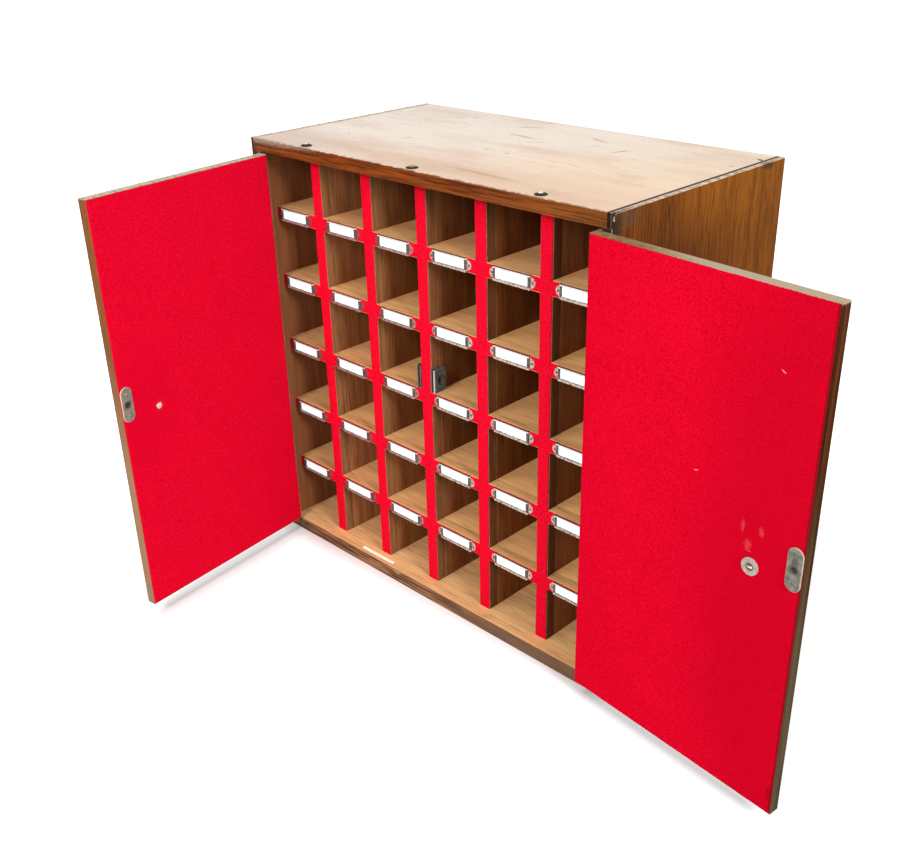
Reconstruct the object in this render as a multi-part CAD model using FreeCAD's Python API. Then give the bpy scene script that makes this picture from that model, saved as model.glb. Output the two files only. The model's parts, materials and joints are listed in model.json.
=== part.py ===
import FreeCAD, Part
import math
import os

# Pigeonhole mail sorter: an oak cabinet with a six by six grid of cross-halved boards,
# a card holder on each shelf edge, and two felt-lined doors on continuous hinges.
# Frame: X to the right, Y to the back, Z up, in millimetres. The origin is on the
# underside of the case, at the middle of its width and depth.
# The doors are drawn shut and then swung to their rest angle.

# ---- Driving dimensions ----
# Case
case_width = 720.0
case_depth = 390.0
case_height = 710.0
side_thickness = 19.0
top_thickness = 20.0
bottom_thickness = 22.0
corner_lap = 6.0            # thin outer tongue of each side, outside the ends of top and bottom
back_thickness = 5.0
back_lap = 7.0              # how far the back panel laps onto the boards around it

# Grid of pigeonholes
columns = 6
rows = 6
grid_board = 22.0           # thickness of the upright dividers and the shelves
grid_setback = 24.5         # felt face behind the front of the case
lipping_depth = 18.0        # solid wood strip glued to each board's front edge
housing_depth = 5.0         # groove that holds the end of a board
felt_thickness = 1.5
felt_inset = 1.0            # bare wood left beside each felt strip

# Card holders
holder_width = 66.0
holder_height = 21.6
holder_lift = 0.5           # holder's middle above the shelf's middle
holder_stand = 3.0          # how far the raised frame stands off the felt
holder_face = 1.2           # thickness of the front rim
holder_side_rim = 3.6       # width of the rim beside the card
holder_low_rim = 3.6
holder_top_rim = 3.2
holder_wall = 1.3
ear_length = 8.0
ear_height = 15.0
ear_thickness = 0.8
ear_hole_radius = 1.1
card_thickness = 0.4

# Doors
door_thickness = 15.5
door_gap = 2.0              # above, below and between the doors
hinge_gap = 2.4             # between a door's edge and the side
edge_lipping = 6.0
left_open_angle = 82.7
right_open_angle = 174.0

# Continuous hinges
knuckle_radius = 2.6
hinge_pin_radius = 1.1
leaf_thickness = 1.0
leaf_width = 13.5
knuckle_length = 47.0
hinge_screws = 7
hinge_screw_radius = 1.6
hinge_screw_row = 8.1       # screw centres behind the leaf's front edge

# Door furniture
strike_width = 20.4
strike_length = 56.5
strike_thickness = 1.5
strike_height = 378.0       # centre of the plate above the base
strike_edge = 1.0           # from the plate to the door's free edge
dimple_spacing = 35.0
dimple_radius = 1.3
strike_screw_radius = 1.6
strike_screw_head = 3.8     # radius of the countersunk head
strike_screw_length = 12.0  # below the plate
knob_inset = 67.5           # knob centre from the door's free edge
knob_height = 355.0
knob_radius = 15.0
knob_neck_radius = 7.5
knob_neck_height = 7.5      # knob heights are from the door's outer face
knob_foot_radius = 10.5
knob_foot_height = 2.4
knob_head_height = 13.0     # underside of the head
knob_crown_radius = 9.5     # flat of the head, inside its rounded rim
knob_crown_rise = 1.8
knob_length = 27.0
knob_thread_depth = 14.8    # screw in the knob
knob_bore_play = 1.4        # bore beyond the screw's tip
washer_radius = 11.3
washer_thickness = 1.6
washer_dish_radius = 4.6    # shallow recess that holds the bolt's head
washer_dish_depth = 0.8
knob_bolt_radius = 2.5
knob_bolt_head = 3.5
knob_bolt_side = 0.6        # straight side of the head, below its dome
knob_bolt_rise = 1.3
bare_patch_radius = 5.0     # felt missing round the left knob's screw

# Magnetic catches
catch_thickness = 7.6
pole_thickness = 1.5
catch_height = 38.5
catch_depth = 24.5
catch_corner = 5.0
catch_slot_length = 5.5
catch_screw_radius = 1.1
catch_screw_head = 1.55     # passes the slot and bears on the inner plate
catch_screw_rise = 1.2
catch_screw_grip = 9.0      # length in the divider

# Screws in the top
top_screws = 3
top_screw_setback = 12.5
top_screw_pitch_columns = 2
cup_radius = 8.8
cup_height = 2.4
cup_rim_height = 0.8
cup_seat_radius = 5.5
cup_seat_height = 1.2       # bottom of the dish that the screw's head fills
top_screw_radius = 2.2
top_screw_length = 15.0
top_screw_rise = 1.2        # dome of the head above its cup

# Paper strip lying along the front of the bottom board
strip_length = 78.0
strip_width = 6.4
strip_setback = 7.8         # behind the front of the case
strip_thickness = 0.6
strip_centre = -122.7

# Clearances
joint_fit = 0.1             # wood to wood, each side
running_fit = 0.06          # radial, hinge pin in knuckle
knuckle_play = 0.3          # between neighbouring knuckles
screw_fit = 0.1             # radial, screw in its hole
card_fit = 0.3
catch_air = 5.2             # between shut strike plate and poles

# ---- Planes and pitches worked out from them ----
half_width = case_width / 2
inner_half = half_width - side_thickness
front = -case_depth / 2
back = case_depth / 2
back_face = back - back_thickness
floor_z = bottom_thickness
ceiling_z = case_height - top_thickness
felt_front = front + grid_setback
lipping_front = felt_front + felt_thickness
core_front = lipping_front + lipping_depth
core_middle = (core_front + back_face) / 2
half_board = grid_board / 2
clear_width = (2 * inner_half - (columns - 1) * grid_board) / columns
clear_height = (ceiling_z - floor_z - (rows - 1) * grid_board) / rows
divider_xs = [
    -inner_half + (i + 1) * (clear_width + grid_board) - half_board for i in range(columns - 1)
]
shelf_zs = [
    ceiling_z - (j + 1) * (clear_height + grid_board) + half_board for j in range(rows - 1)
]
column_xs = [
    -inner_half + clear_width / 2 + i * (clear_width + grid_board) for i in range(columns)
]
middle_x = divider_xs[(columns - 1) // 2]
middle_shelf_z = shelf_zs[(rows - 1) // 2]

hinge_x = inner_half - hinge_gap / 2
hinge_y = front - knuckle_radius - knuckle_play
door_low = floor_z + door_gap
door_high = ceiling_z - door_gap
door_hinge_edge = inner_half - hinge_gap
door_free_edge = door_gap / 2
door_inner = front + door_thickness
door_felt_face = door_inner + felt_thickness
strike_face = door_felt_face + strike_thickness

catch_low = middle_shelf_z + half_board
catch_front = strike_face + catch_air
catch_face_x = middle_x + half_board
catch_screw_y = lipping_front + lipping_depth / 2
catch_screw_z = catch_low + catch_height / 2

strike_x = -door_free_edge - strike_edge - strike_width / 2
knob_x = -door_free_edge - knob_inset

os.makedirs("parts", exist_ok=True)
V = FreeCAD.Vector
UP = V(0, 0, 1)
RIGHT = V(1, 0, 0)
BACKWARD = V(0, 1, 0)


# ---- Shape helpers ----
def block(x0, x1, y0, y1, z0, z1):
    """Box between pairs of planes."""
    return Part.makeBox(x1 - x0, y1 - y0, z1 - z0, V(x0, y0, z0))


def rod(radius, start, length, direction):
    """Round bar from a point along a direction."""
    return Part.makeCylinder(radius, length, start, direction)


def lines(*points):
    """Straight edges through (radius, height) points."""
    places = [V(radius, 0, height) for radius, height in points]
    return [Part.LineSegment(a, b).toShape() for a, b in zip(places, places[1:])]


def curve(start, through, end):
    """Arc through three (radius, height) points."""
    places = [V(radius, 0, height) for radius, height in (start, through, end)]
    return Part.Arc(*places).toShape()


def dome(radius, base, rise):
    """Shallow arc from the rim at (radius, base) up to the axis."""
    sphere = (radius ** 2 + rise ** 2) / (2 * rise)
    half = radius / 2
    drop = sphere - math.sqrt(sphere ** 2 - half ** 2)
    return curve((radius, base), (half, base + rise - drop), (0, base + rise))


def turned(edges, origin, direction):
    """Solid of revolution of a closed profile, with its heights along the direction."""
    solid = Part.Face(Part.Wire(edges)).revolve(V(0, 0, 0), UP, 360)
    solid.Placement = FreeCAD.Placement(origin, FreeCAD.Rotation(UP, direction))
    return solid


def mirrored(shape):
    """The same shape on the other side of the case's middle plane."""
    return shape.mirror(V(0, 0, 0), RIGHT)


def opened(shape, side):
    """A left-hand shape of the shut door, on its own side and swung to its rest angle."""
    if side == "left":
        turned_shape = shape.copy()
        turned_shape.rotate(V(-hinge_x, hinge_y, 0), UP, -left_open_angle)
        return turned_shape
    turned_shape = mirrored(shape)
    turned_shape.rotate(V(hinge_x, hinge_y, 0), UP, right_open_angle)
    return turned_shape


def save(node, *solids):
    """One STEP file for one node."""
    shape = solids[0] if len(solids) == 1 else Part.makeCompound(list(solids))
    shape.exportStep("parts/" + node + ".step")


# ---- Case ----
def left_side():
    """Side board: corner rebates, rebate for the back, and a housing for each shelf."""
    outer = -half_width
    board = block(outer, -inner_half, front, back, 0, case_height)
    tongue = outer + corner_lap
    board = board.cut(block(tongue, -inner_half, front, back, ceiling_z, case_height))
    board = board.cut(block(tongue, -inner_half, front, back, 0, floor_z))
    board = board.cut(
        block(-inner_half - back_lap, -inner_half, back_face, back, floor_z, ceiling_z)
    )
    for z in shelf_zs:
        reach = half_board + joint_fit
        groove = block(
            -inner_half - housing_depth, -inner_half, core_front, back_face, z - reach, z + reach
        )
        board = board.cut(groove)
    return board


def end_board(low, high, inner_z, inward):
    """Top or bottom board. inward is the sense of Z from the board into the case."""
    reach = half_width - corner_lap
    board = block(-reach, reach, front, back, low, high)
    lap = sorted([inner_z, inner_z - inward * back_lap])
    board = board.cut(
        block(-inner_half - back_lap, inner_half + back_lap, back_face, back, lap[0], lap[1])
    )
    groove = sorted([inner_z, inner_z - inward * housing_depth])
    for x in divider_xs:
        half = half_board + joint_fit
        board = board.cut(
            block(x - half, x + half, core_front, back_face, groove[0], groove[1])
        )
    return board


def top_screw_places():
    """Screw centres on the top, over the first, middle and last dividers."""
    return [
        V(divider_xs[i * top_screw_pitch_columns], front + top_screw_setback, case_height)
        for i in range(top_screws)
    ]


def top_board():
    """Top board with its screw holes."""
    board = end_board(ceiling_z, case_height, ceiling_z, -1)
    for place in top_screw_places():
        board = board.cut(rod(top_screw_radius + screw_fit, place, top_screw_length, -UP))
    return board


def back_panel():
    """Thin panel let in flush with the back of the case."""
    reach = inner_half + back_lap
    return block(-reach, reach, back_face, back, floor_z - back_lap, ceiling_z + back_lap)


left = left_side()
save("side_left", left)
save("side_right", mirrored(left))
save("top_board", top_board())
save("bottom_board", end_board(0, floor_z, floor_z, 1))
save("back_panel", back_panel())


# ---- Cross-halved grid ----
def divider(x):
    """Upright board, slotted from the back so that the shelves slide on from behind."""
    board = block(
        x - half_board, x + half_board, core_front, back_face,
        floor_z - housing_depth, ceiling_z + housing_depth
    )
    for z in shelf_zs:
        reach = half_board + joint_fit
        slot = block(
            x - half_board, x + half_board, core_middle - joint_fit, back_face,
            z - reach, z + reach
        )
        board = board.cut(slot)
    return board


def shelf(z):
    """Level board, slotted from the front over each divider."""
    reach = inner_half + housing_depth
    board = block(-reach, reach, core_front, back_face, z - half_board, z + half_board)
    for x in divider_xs:
        half = half_board + joint_fit
        slot = block(
            x - half, x + half, core_front, core_middle + joint_fit,
            z - half_board, z + half_board
        )
        board = board.cut(slot)
    return board


def upright_strip(x, near, far, inset):
    """Full-height strip on a divider's front edge."""
    half = half_board - inset
    return block(x - half, x + half, near, far, floor_z, ceiling_z)


def level_strips(z, near, far, inset):
    """Strips on a shelf's front edge, one in each column, between the upright strips."""
    half = half_board - inset
    strips = []
    for i in range(columns):
        low_x = -inner_half if i == 0 else divider_xs[i - 1] + half
        high_x = inner_half if i == columns - 1 else divider_xs[i] - half
        strips.append(
            block(low_x + joint_fit, high_x - joint_fit, near, far, z - half, z + half)
        )
    return strips


def divider_lipping(x):
    """Front strip of a divider. The middle one is drilled from both faces for the catches."""
    strip = upright_strip(x, lipping_front, core_front, 0)
    if x != middle_x:
        return strip
    for sense in (-1, 1):
        start = V(x + sense * half_board, catch_screw_y, catch_screw_z)
        radius = catch_screw_radius + screw_fit
        strip = strip.cut(rod(radius, start, catch_screw_grip, RIGHT * -sense))
    return strip


for number, x in enumerate(divider_xs, 1):
    save("divider_%d" % number, divider(x))
for number, z in enumerate(shelf_zs, 1):
    save("shelf_%d" % number, shelf(z))
save("divider_lippings", *[divider_lipping(x) for x in divider_xs])
save(
    "divider_felts",
    *[upright_strip(x, felt_front, lipping_front, felt_inset) for x in divider_xs]
)
save(
    "shelf_lippings",
    *[strip for z in shelf_zs for strip in level_strips(z, lipping_front, core_front, 0)]
)
save(
    "shelf_felts",
    *[strip for z in shelf_zs for strip in level_strips(z, felt_front, lipping_front, felt_inset)]
)


# ---- Card holders ----
def card_holder(x, z):
    """Pressed frame, open at the top for its card, with a rounded ear at each end."""
    half = holder_width / 2
    low = z + holder_lift - holder_height / 2
    high = z + holder_lift + holder_height / 2
    face = felt_front - holder_stand
    frame = block(x - half, x + half, face, felt_front, low, high)
    pocket = block(
        x - half + holder_wall, x + half - holder_wall, face + holder_face, felt_front,
        low + holder_wall, high
    )
    window = block(
        x - half + holder_side_rim, x + half - holder_side_rim, face, felt_front,
        low + holder_low_rim, high - holder_top_rim
    )
    frame = frame.cut(pocket)
    frame = frame.cut(window)
    for sense in (-1, 1):
        frame = frame.fuse(ear(x + sense * half, z, sense))
    return frame.removeSplitter()


def ear(x, z, sense):
    """Flat rounded tab beside the frame, with its fixing hole."""
    tip = x + sense * ear_length
    rise = ear_height / 2
    y = felt_front - ear_thickness
    low = V(x, y, z - rise)
    high = V(x, y, z + rise)
    edges = [
        Part.Arc(low, V(tip, y, z), high).toShape(),
        Part.LineSegment(high, low).toShape(),
    ]
    tab = Part.Face(Part.Wire(edges)).extrude(BACKWARD * ear_thickness)
    centre = V(x + sense * ear_length / 2, y, z)
    return tab.cut(rod(ear_hole_radius, centre, ear_thickness, BACKWARD))


def card(x, z):
    """Blank card standing in the holder's pocket, against the inside of the rim."""
    half = holder_width / 2 - holder_wall - card_fit
    low = z + holder_lift - holder_height / 2 + holder_wall
    near = felt_front - holder_stand + holder_face
    high = z + holder_lift + holder_height / 2 - card_fit
    return block(x - half, x + half, near, near + card_thickness, low, high)


for number, z in enumerate(shelf_zs, 1):
    save("label_holders_row_%d" % number, *[card_holder(x, z) for x in column_xs])
    save("label_cards_row_%d" % number, *[card(x, z) for x in column_xs])


# ---- Screws and cup washers in the top ----
def cup_washer(place):
    """Raised dished ring round a screw head."""
    hole = top_screw_radius + screw_fit
    profile = lines(
        (hole, 0), (cup_radius, 0), (cup_radius, cup_rim_height),
        (cup_seat_radius, cup_height), (hole, cup_seat_height), (hole, 0)
    )
    return turned(profile, place, UP)


def top_screw(place):
    """Raised-head screw down through its cup into the board."""
    crown = dome(cup_seat_radius, cup_height, top_screw_rise)
    shank = lines(
        (0, cup_height + top_screw_rise), (0, -top_screw_length),
        (top_screw_radius, -top_screw_length), (top_screw_radius, cup_seat_height),
        (cup_seat_radius, cup_height)
    )
    return turned(shank + [crown], place, UP)


save("top_cup_washers", *[cup_washer(place) for place in top_screw_places()])
save("top_screws", *[top_screw(place) for place in top_screw_places()])


# ---- Magnetic catches on the middle divider ----
def plate_outline(x):
    """Side view of a catch plate: square in front, rounded corners behind."""
    rear = catch_front + catch_depth
    high = catch_low + catch_height
    turn = catch_corner * (1 - math.sqrt(0.5))
    corners = [V(x, catch_front, catch_low), V(x, rear - catch_corner, catch_low)]
    low_mid = V(x, rear - turn, catch_low + turn)
    low_end = V(x, rear, catch_low + catch_corner)
    high_start = V(x, rear, high - catch_corner)
    high_mid = V(x, rear - turn, high - turn)
    high_end = V(x, rear - catch_corner, high)
    top_front = V(x, catch_front, high)
    edges = [
        Part.LineSegment(corners[0], corners[1]).toShape(),
        Part.Arc(corners[1], low_mid, low_end).toShape(),
        Part.LineSegment(low_end, high_start).toShape(),
        Part.Arc(high_start, high_mid, high_end).toShape(),
        Part.LineSegment(high_end, top_front).toShape(),
        Part.LineSegment(top_front, corners[0]).toShape(),
    ]
    return Part.Face(Part.Wire(edges))


def adjusting_slot(x, length, radius):
    """Upright round-ended slot of a catch, through a thickness along X."""
    half = catch_slot_length / 2
    slot = block(
        x, x + length, catch_screw_y - radius, catch_screw_y + radius,
        catch_screw_z - half, catch_screw_z + half
    )
    for z in (catch_screw_z - half, catch_screw_z + half):
        slot = slot.fuse(rod(radius, V(x, catch_screw_y, z), length, RIGHT))
    return slot


def pole_plate(x, slot_radius):
    """Steel plate whose front edge faces the strike plate."""
    plate = plate_outline(x).extrude(RIGHT * pole_thickness)
    return plate.cut(adjusting_slot(x, pole_thickness, slot_radius))


def magnet():
    """Magnet block clamped between the two plates, a little behind their front edges."""
    x0 = catch_face_x + pole_thickness
    x1 = catch_face_x + catch_thickness - pole_thickness
    rear = catch_front + catch_depth - catch_corner
    body = block(
        x0, x1, catch_front + pole_thickness, rear,
        catch_low + pole_thickness, catch_low + catch_height - pole_thickness
    )
    return body.cut(adjusting_slot(x0, x1 - x0, catch_screw_head + screw_fit))


def catch_screw():
    """Round-head screw, seated inside the catch on its inner plate, into the divider's strip."""
    face = catch_face_x + pole_thickness
    tip = -pole_thickness - catch_screw_grip
    shank = lines(
        (0, catch_screw_rise), (0, tip), (catch_screw_radius, tip),
        (catch_screw_radius, 0), (catch_screw_head, 0)
    )
    crown = dome(catch_screw_head, 0, catch_screw_rise)
    return turned(shank + [crown], V(face, catch_screw_y, catch_screw_z), RIGHT)


poles = [
    pole_plate(catch_face_x, catch_screw_radius + screw_fit),
    pole_plate(catch_face_x + catch_thickness - pole_thickness, catch_screw_head + screw_fit)
]
save("catch_pole_plates", *(poles + [mirrored(pole) for pole in poles]))
save("catch_magnets", magnet(), mirrored(magnet()))
save("catch_screws", catch_screw(), mirrored(catch_screw()))


# ---- Paper strip ----
def paper_strip():
    """Flat strip stuck along the front edge of the bottom board."""
    half = strip_length / 2
    return block(
        strip_centre - half, strip_centre + half,
        front + strip_setback, front + strip_setback + strip_width,
        floor_z, floor_z + strip_thickness
    )


save("paper_strip", paper_strip())


# ---- Continuous hinges (left hand, door shut) ----
def knuckle_spans():
    """Heights of the knuckles, alternately the case leaf's and the door leaf's."""
    count = 2 * int((door_high - door_low) / knuckle_length / 2) + 1
    pitch = (door_high - door_low) / count
    return [
        (door_low + i * pitch + knuckle_play / 2, door_low + (i + 1) * pitch - knuckle_play / 2)
        for i in range(count)
    ]


def hinge_leaf(on_case):
    """Leaf with its knuckles round the pin. The case leaf has the end knuckles."""
    x0 = -inner_half if on_case else -door_hinge_edge - leaf_thickness
    x1 = x0 + leaf_thickness
    leaf = block(x0, x1, front, front + leaf_width, door_low, door_high)
    centre = V(-hinge_x, hinge_y, 0)
    for low, high in knuckle_spans()[0 if on_case else 1::2]:
        ring = rod(knuckle_radius, V(centre.x, centre.y, low), high - low, UP)
        neck = block(x0, x1, hinge_y, front, low, high)
        leaf = leaf.fuse([ring, neck])
    bore = rod(hinge_pin_radius + running_fit, V(centre.x, centre.y, door_low),
               door_high - door_low, UP)
    leaf = leaf.cut(bore)
    pitch = (door_high - door_low) / hinge_screws
    for i in range(hinge_screws):
        start = V(x0, front + hinge_screw_row, door_low + (i + 0.5) * pitch)
        leaf = leaf.cut(rod(hinge_screw_radius, start, leaf_thickness, RIGHT))
    return leaf.removeSplitter()


def hinge_pin():
    """Wire pin through every knuckle."""
    return rod(hinge_pin_radius, V(-hinge_x, hinge_y, door_low), door_high - door_low, UP)


save("hinge_left_case_leaf", hinge_leaf(True))
save("hinge_right_case_leaf", mirrored(hinge_leaf(True)))
save("hinge_left_pin", hinge_pin())
save("hinge_right_pin", mirrored(hinge_pin()))


# ---- Doors (left hand, shut) ----
def knob_hole(radius, near, far):
    """Round hole at the knob's fixing between two depths."""
    return rod(radius, V(knob_x, near, knob_height), far - near, BACKWARD)


def strike_hole(far):
    """Pilot hole for the strike plate's screw, from its tip's depth out to a face."""
    near = door_felt_face - strike_screw_length
    start = V(strike_x, near, strike_height)
    return rod(strike_screw_radius + screw_fit, start, far - near, BACKWARD)


def door_panel():
    """Veneered board inside its edge lippings."""
    board = block(
        -door_hinge_edge + edge_lipping, -door_free_edge - edge_lipping, front, door_inner,
        door_low + edge_lipping, door_high - edge_lipping
    )
    board = board.cut(knob_hole(knob_bolt_radius + screw_fit, front, door_inner))
    return board.cut(strike_hole(door_inner))


def door_lippings():
    """Solid strips round the four edges: uprights full height, rails between them."""
    outer = -door_hinge_edge
    inner = -door_free_edge
    stiles = [
        block(outer, outer + edge_lipping, front, door_inner, door_low, door_high),
        block(inner - edge_lipping, inner, front, door_inner, door_low, door_high),
    ]
    rails = [
        block(outer + edge_lipping, inner - edge_lipping, front, door_inner, z, z + edge_lipping)
        for z in (door_low, door_high - edge_lipping)
    ]
    return stiles + rails


def door_felt(hole_radius):
    """Felt glued over the inner face, with holes at the knob's fixing and the strike's screw."""
    sheet = block(
        -door_hinge_edge + felt_inset, -door_free_edge - felt_inset, door_inner, door_felt_face,
        door_low + felt_inset, door_high - felt_inset
    )
    sheet = sheet.cut(knob_hole(hole_radius, door_inner, door_felt_face))
    return sheet.cut(strike_hole(door_felt_face))


def strike_plate():
    """Round-ended plate with softened edges, a screw hole and two small dimple holes."""
    radius = strike_width / 2
    half = strike_length / 2 - radius
    low_z = strike_height - half
    high_z = strike_height + half
    y = door_felt_face
    edges = [
        Part.Arc(V(strike_x - radius, y, high_z), V(strike_x, y, high_z + radius),
                 V(strike_x + radius, y, high_z)).toShape(),
        Part.LineSegment(V(strike_x + radius, y, high_z),
                         V(strike_x + radius, y, low_z)).toShape(),
        Part.Arc(V(strike_x + radius, y, low_z), V(strike_x, y, low_z - radius),
                 V(strike_x - radius, y, low_z)).toShape(),
        Part.LineSegment(V(strike_x - radius, y, low_z),
                         V(strike_x - radius, y, high_z)).toShape(),
    ]
    plate = Part.Face(Part.Wire(edges)).extrude(BACKWARD * strike_thickness)
    rim = [edge for edge in plate.Edges if edge.BoundBox.YMin > y + strike_thickness / 2]
    plate = plate.makeChamfer(strike_thickness / 2, rim)
    plate = plate.cut(strike_screw_solid(screw_fit))
    for offset in (-dimple_spacing / 2, dimple_spacing / 2):
        start = V(strike_x, y, strike_height + offset)
        plate = plate.cut(rod(dimple_radius, start, strike_thickness, BACKWARD))
    return plate


def strike_screw_solid(margin):
    """Countersunk screw through plate and felt into the board. margin makes its hole."""
    shank = strike_screw_radius + margin
    profile = lines(
        (0, strike_thickness), (0, -strike_screw_length), (shank, -strike_screw_length),
        (shank, 0), (strike_screw_head + margin, strike_thickness), (0, strike_thickness)
    )
    return turned(profile, V(strike_x, door_felt_face, strike_height), BACKWARD)


def knob():
    """Turned knob on the door's outer face, bored for its screw."""
    depth = knob_thread_depth + knob_bore_play
    rim_top = knob_length - knob_crown_rise
    rim_middle = (knob_head_height + rim_top) / 2
    bore = lines(
        (0, knob_length), (0, depth), (knob_bolt_radius, depth), (knob_bolt_radius, 0),
        (knob_foot_radius, 0), (knob_foot_radius, knob_foot_height)
    )
    cove = curve(
        (knob_foot_radius, knob_foot_height), (knob_neck_radius, knob_neck_height),
        (knob_crown_radius, knob_head_height)
    )
    rim = curve(
        (knob_crown_radius, knob_head_height), (knob_radius, rim_middle),
        (knob_crown_radius, rim_top)
    )
    crown = dome(knob_crown_radius, rim_top, knob_crown_rise)
    return turned(bore + [cove, rim, crown], V(knob_x, front, knob_height), -BACKWARD)


def knob_bolt():
    """Domed bolt from the inner face, through washer, felt and board into the knob."""
    seat = door_felt_face + washer_thickness - washer_dish_depth
    tip = front - knob_thread_depth - seat
    shank = lines(
        (0, knob_bolt_side + knob_bolt_rise), (0, tip), (knob_bolt_radius, tip),
        (knob_bolt_radius, 0), (knob_bolt_head, 0), (knob_bolt_head, knob_bolt_side)
    )
    crown = dome(knob_bolt_head, knob_bolt_side, knob_bolt_rise)
    return turned(shank + [crown], V(knob_x, seat, knob_height), BACKWARD)


def knob_screw():
    """Stud of the left knob, ending flush inside its hole in the board."""
    tip = front - knob_thread_depth
    return rod(knob_bolt_radius, V(knob_x, tip, knob_height), door_inner - tip, BACKWARD)


def washer():
    """Wide washer, dished round its hole to seat the bolt's head."""
    hole = knob_bolt_radius + screw_fit
    dish = washer_thickness - washer_dish_depth
    profile = lines(
        (hole, 0), (washer_radius, 0), (washer_radius, washer_thickness),
        (washer_dish_radius, washer_thickness), (washer_dish_radius, dish),
        (hole, dish), (hole, 0)
    )
    return turned(profile, V(knob_x, door_felt_face, knob_height), BACKWARD)


felt_holes = {"left": bare_patch_radius, "right": knob_bolt_radius + screw_fit}
knob_fixings = {"left": knob_screw, "right": knob_bolt}
for side in ("left", "right"):
    save("door_%s_panel" % side, opened(door_panel(), side))
    save("door_%s_lippings" % side, *[opened(strip, side) for strip in door_lippings()])
    save("door_%s_felt" % side, opened(door_felt(felt_holes[side]), side))
    save("hinge_%s_door_leaf" % side, opened(hinge_leaf(False), side))
    save("strike_plate_%s" % side, opened(strike_plate(), side))
    save("strike_screw_%s" % side, opened(strike_screw_solid(0), side))
    save("knob_%s" % side, opened(knob(), side))
    save("knob_screw_%s" % side, opened(knob_fixings[side](), side))
save("knob_washer_right", opened(washer(), "right"))
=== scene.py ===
"""Looks of a worn oak pigeonhole mail sorter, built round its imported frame.

Metres, X to the right, Y to the back, Z up, with the origin under the middle of the case.
Each sub-assembly is a class that dresses its own frame nodes and adds its own pieces.
"""
import json
import logging
import math
from dataclasses import dataclass
from enum import Enum
from functools import lru_cache
from typing import Any, Optional, Sequence

import bpy
import numpy as np
from mathutils import Matrix, Vector


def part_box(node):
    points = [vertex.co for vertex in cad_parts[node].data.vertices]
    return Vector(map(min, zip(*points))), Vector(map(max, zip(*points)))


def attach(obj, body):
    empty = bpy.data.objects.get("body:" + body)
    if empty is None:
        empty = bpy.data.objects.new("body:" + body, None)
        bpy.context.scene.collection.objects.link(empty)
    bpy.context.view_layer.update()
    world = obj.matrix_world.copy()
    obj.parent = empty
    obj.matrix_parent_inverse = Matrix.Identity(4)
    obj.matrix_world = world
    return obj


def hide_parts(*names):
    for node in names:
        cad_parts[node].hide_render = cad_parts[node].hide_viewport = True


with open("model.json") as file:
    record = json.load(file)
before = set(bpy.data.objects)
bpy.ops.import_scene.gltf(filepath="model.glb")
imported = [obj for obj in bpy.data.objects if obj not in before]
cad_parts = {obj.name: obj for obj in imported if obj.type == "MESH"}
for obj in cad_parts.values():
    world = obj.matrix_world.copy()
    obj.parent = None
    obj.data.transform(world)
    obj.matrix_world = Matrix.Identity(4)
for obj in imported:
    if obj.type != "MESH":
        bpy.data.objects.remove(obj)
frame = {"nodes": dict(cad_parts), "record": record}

log = logging.getLogger("mail_sorter")
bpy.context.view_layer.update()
MM = 0.001
BAY_WIDTH = 0.352 / 3       # from one pigeonhole to the next
BAY_HEIGHT = 0.115
FIRST_HOLDER = 0.1265       # middle of the lowest card holders
EDGE_SHARP = 0.0006         # height over which one face's colour gives way to another's
FIBRE_WIDTH = 0.09 * MM

Array = np.ndarray
Box = tuple[Array, Array]
Colour = tuple[float, float, float]
Socket = bpy.types.NodeSocket


class Grain(Enum):
    """Which way the grain of a board runs, as the turn that brings it upright."""

    UPRIGHT = (0.0, 0.0, 0.0)
    ACROSS = (0.0, math.radians(90), 0.0)


class Hand(Enum):
    """Side of the case that a door hangs on."""

    LEFT = "left"
    RIGHT = "right"


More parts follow.
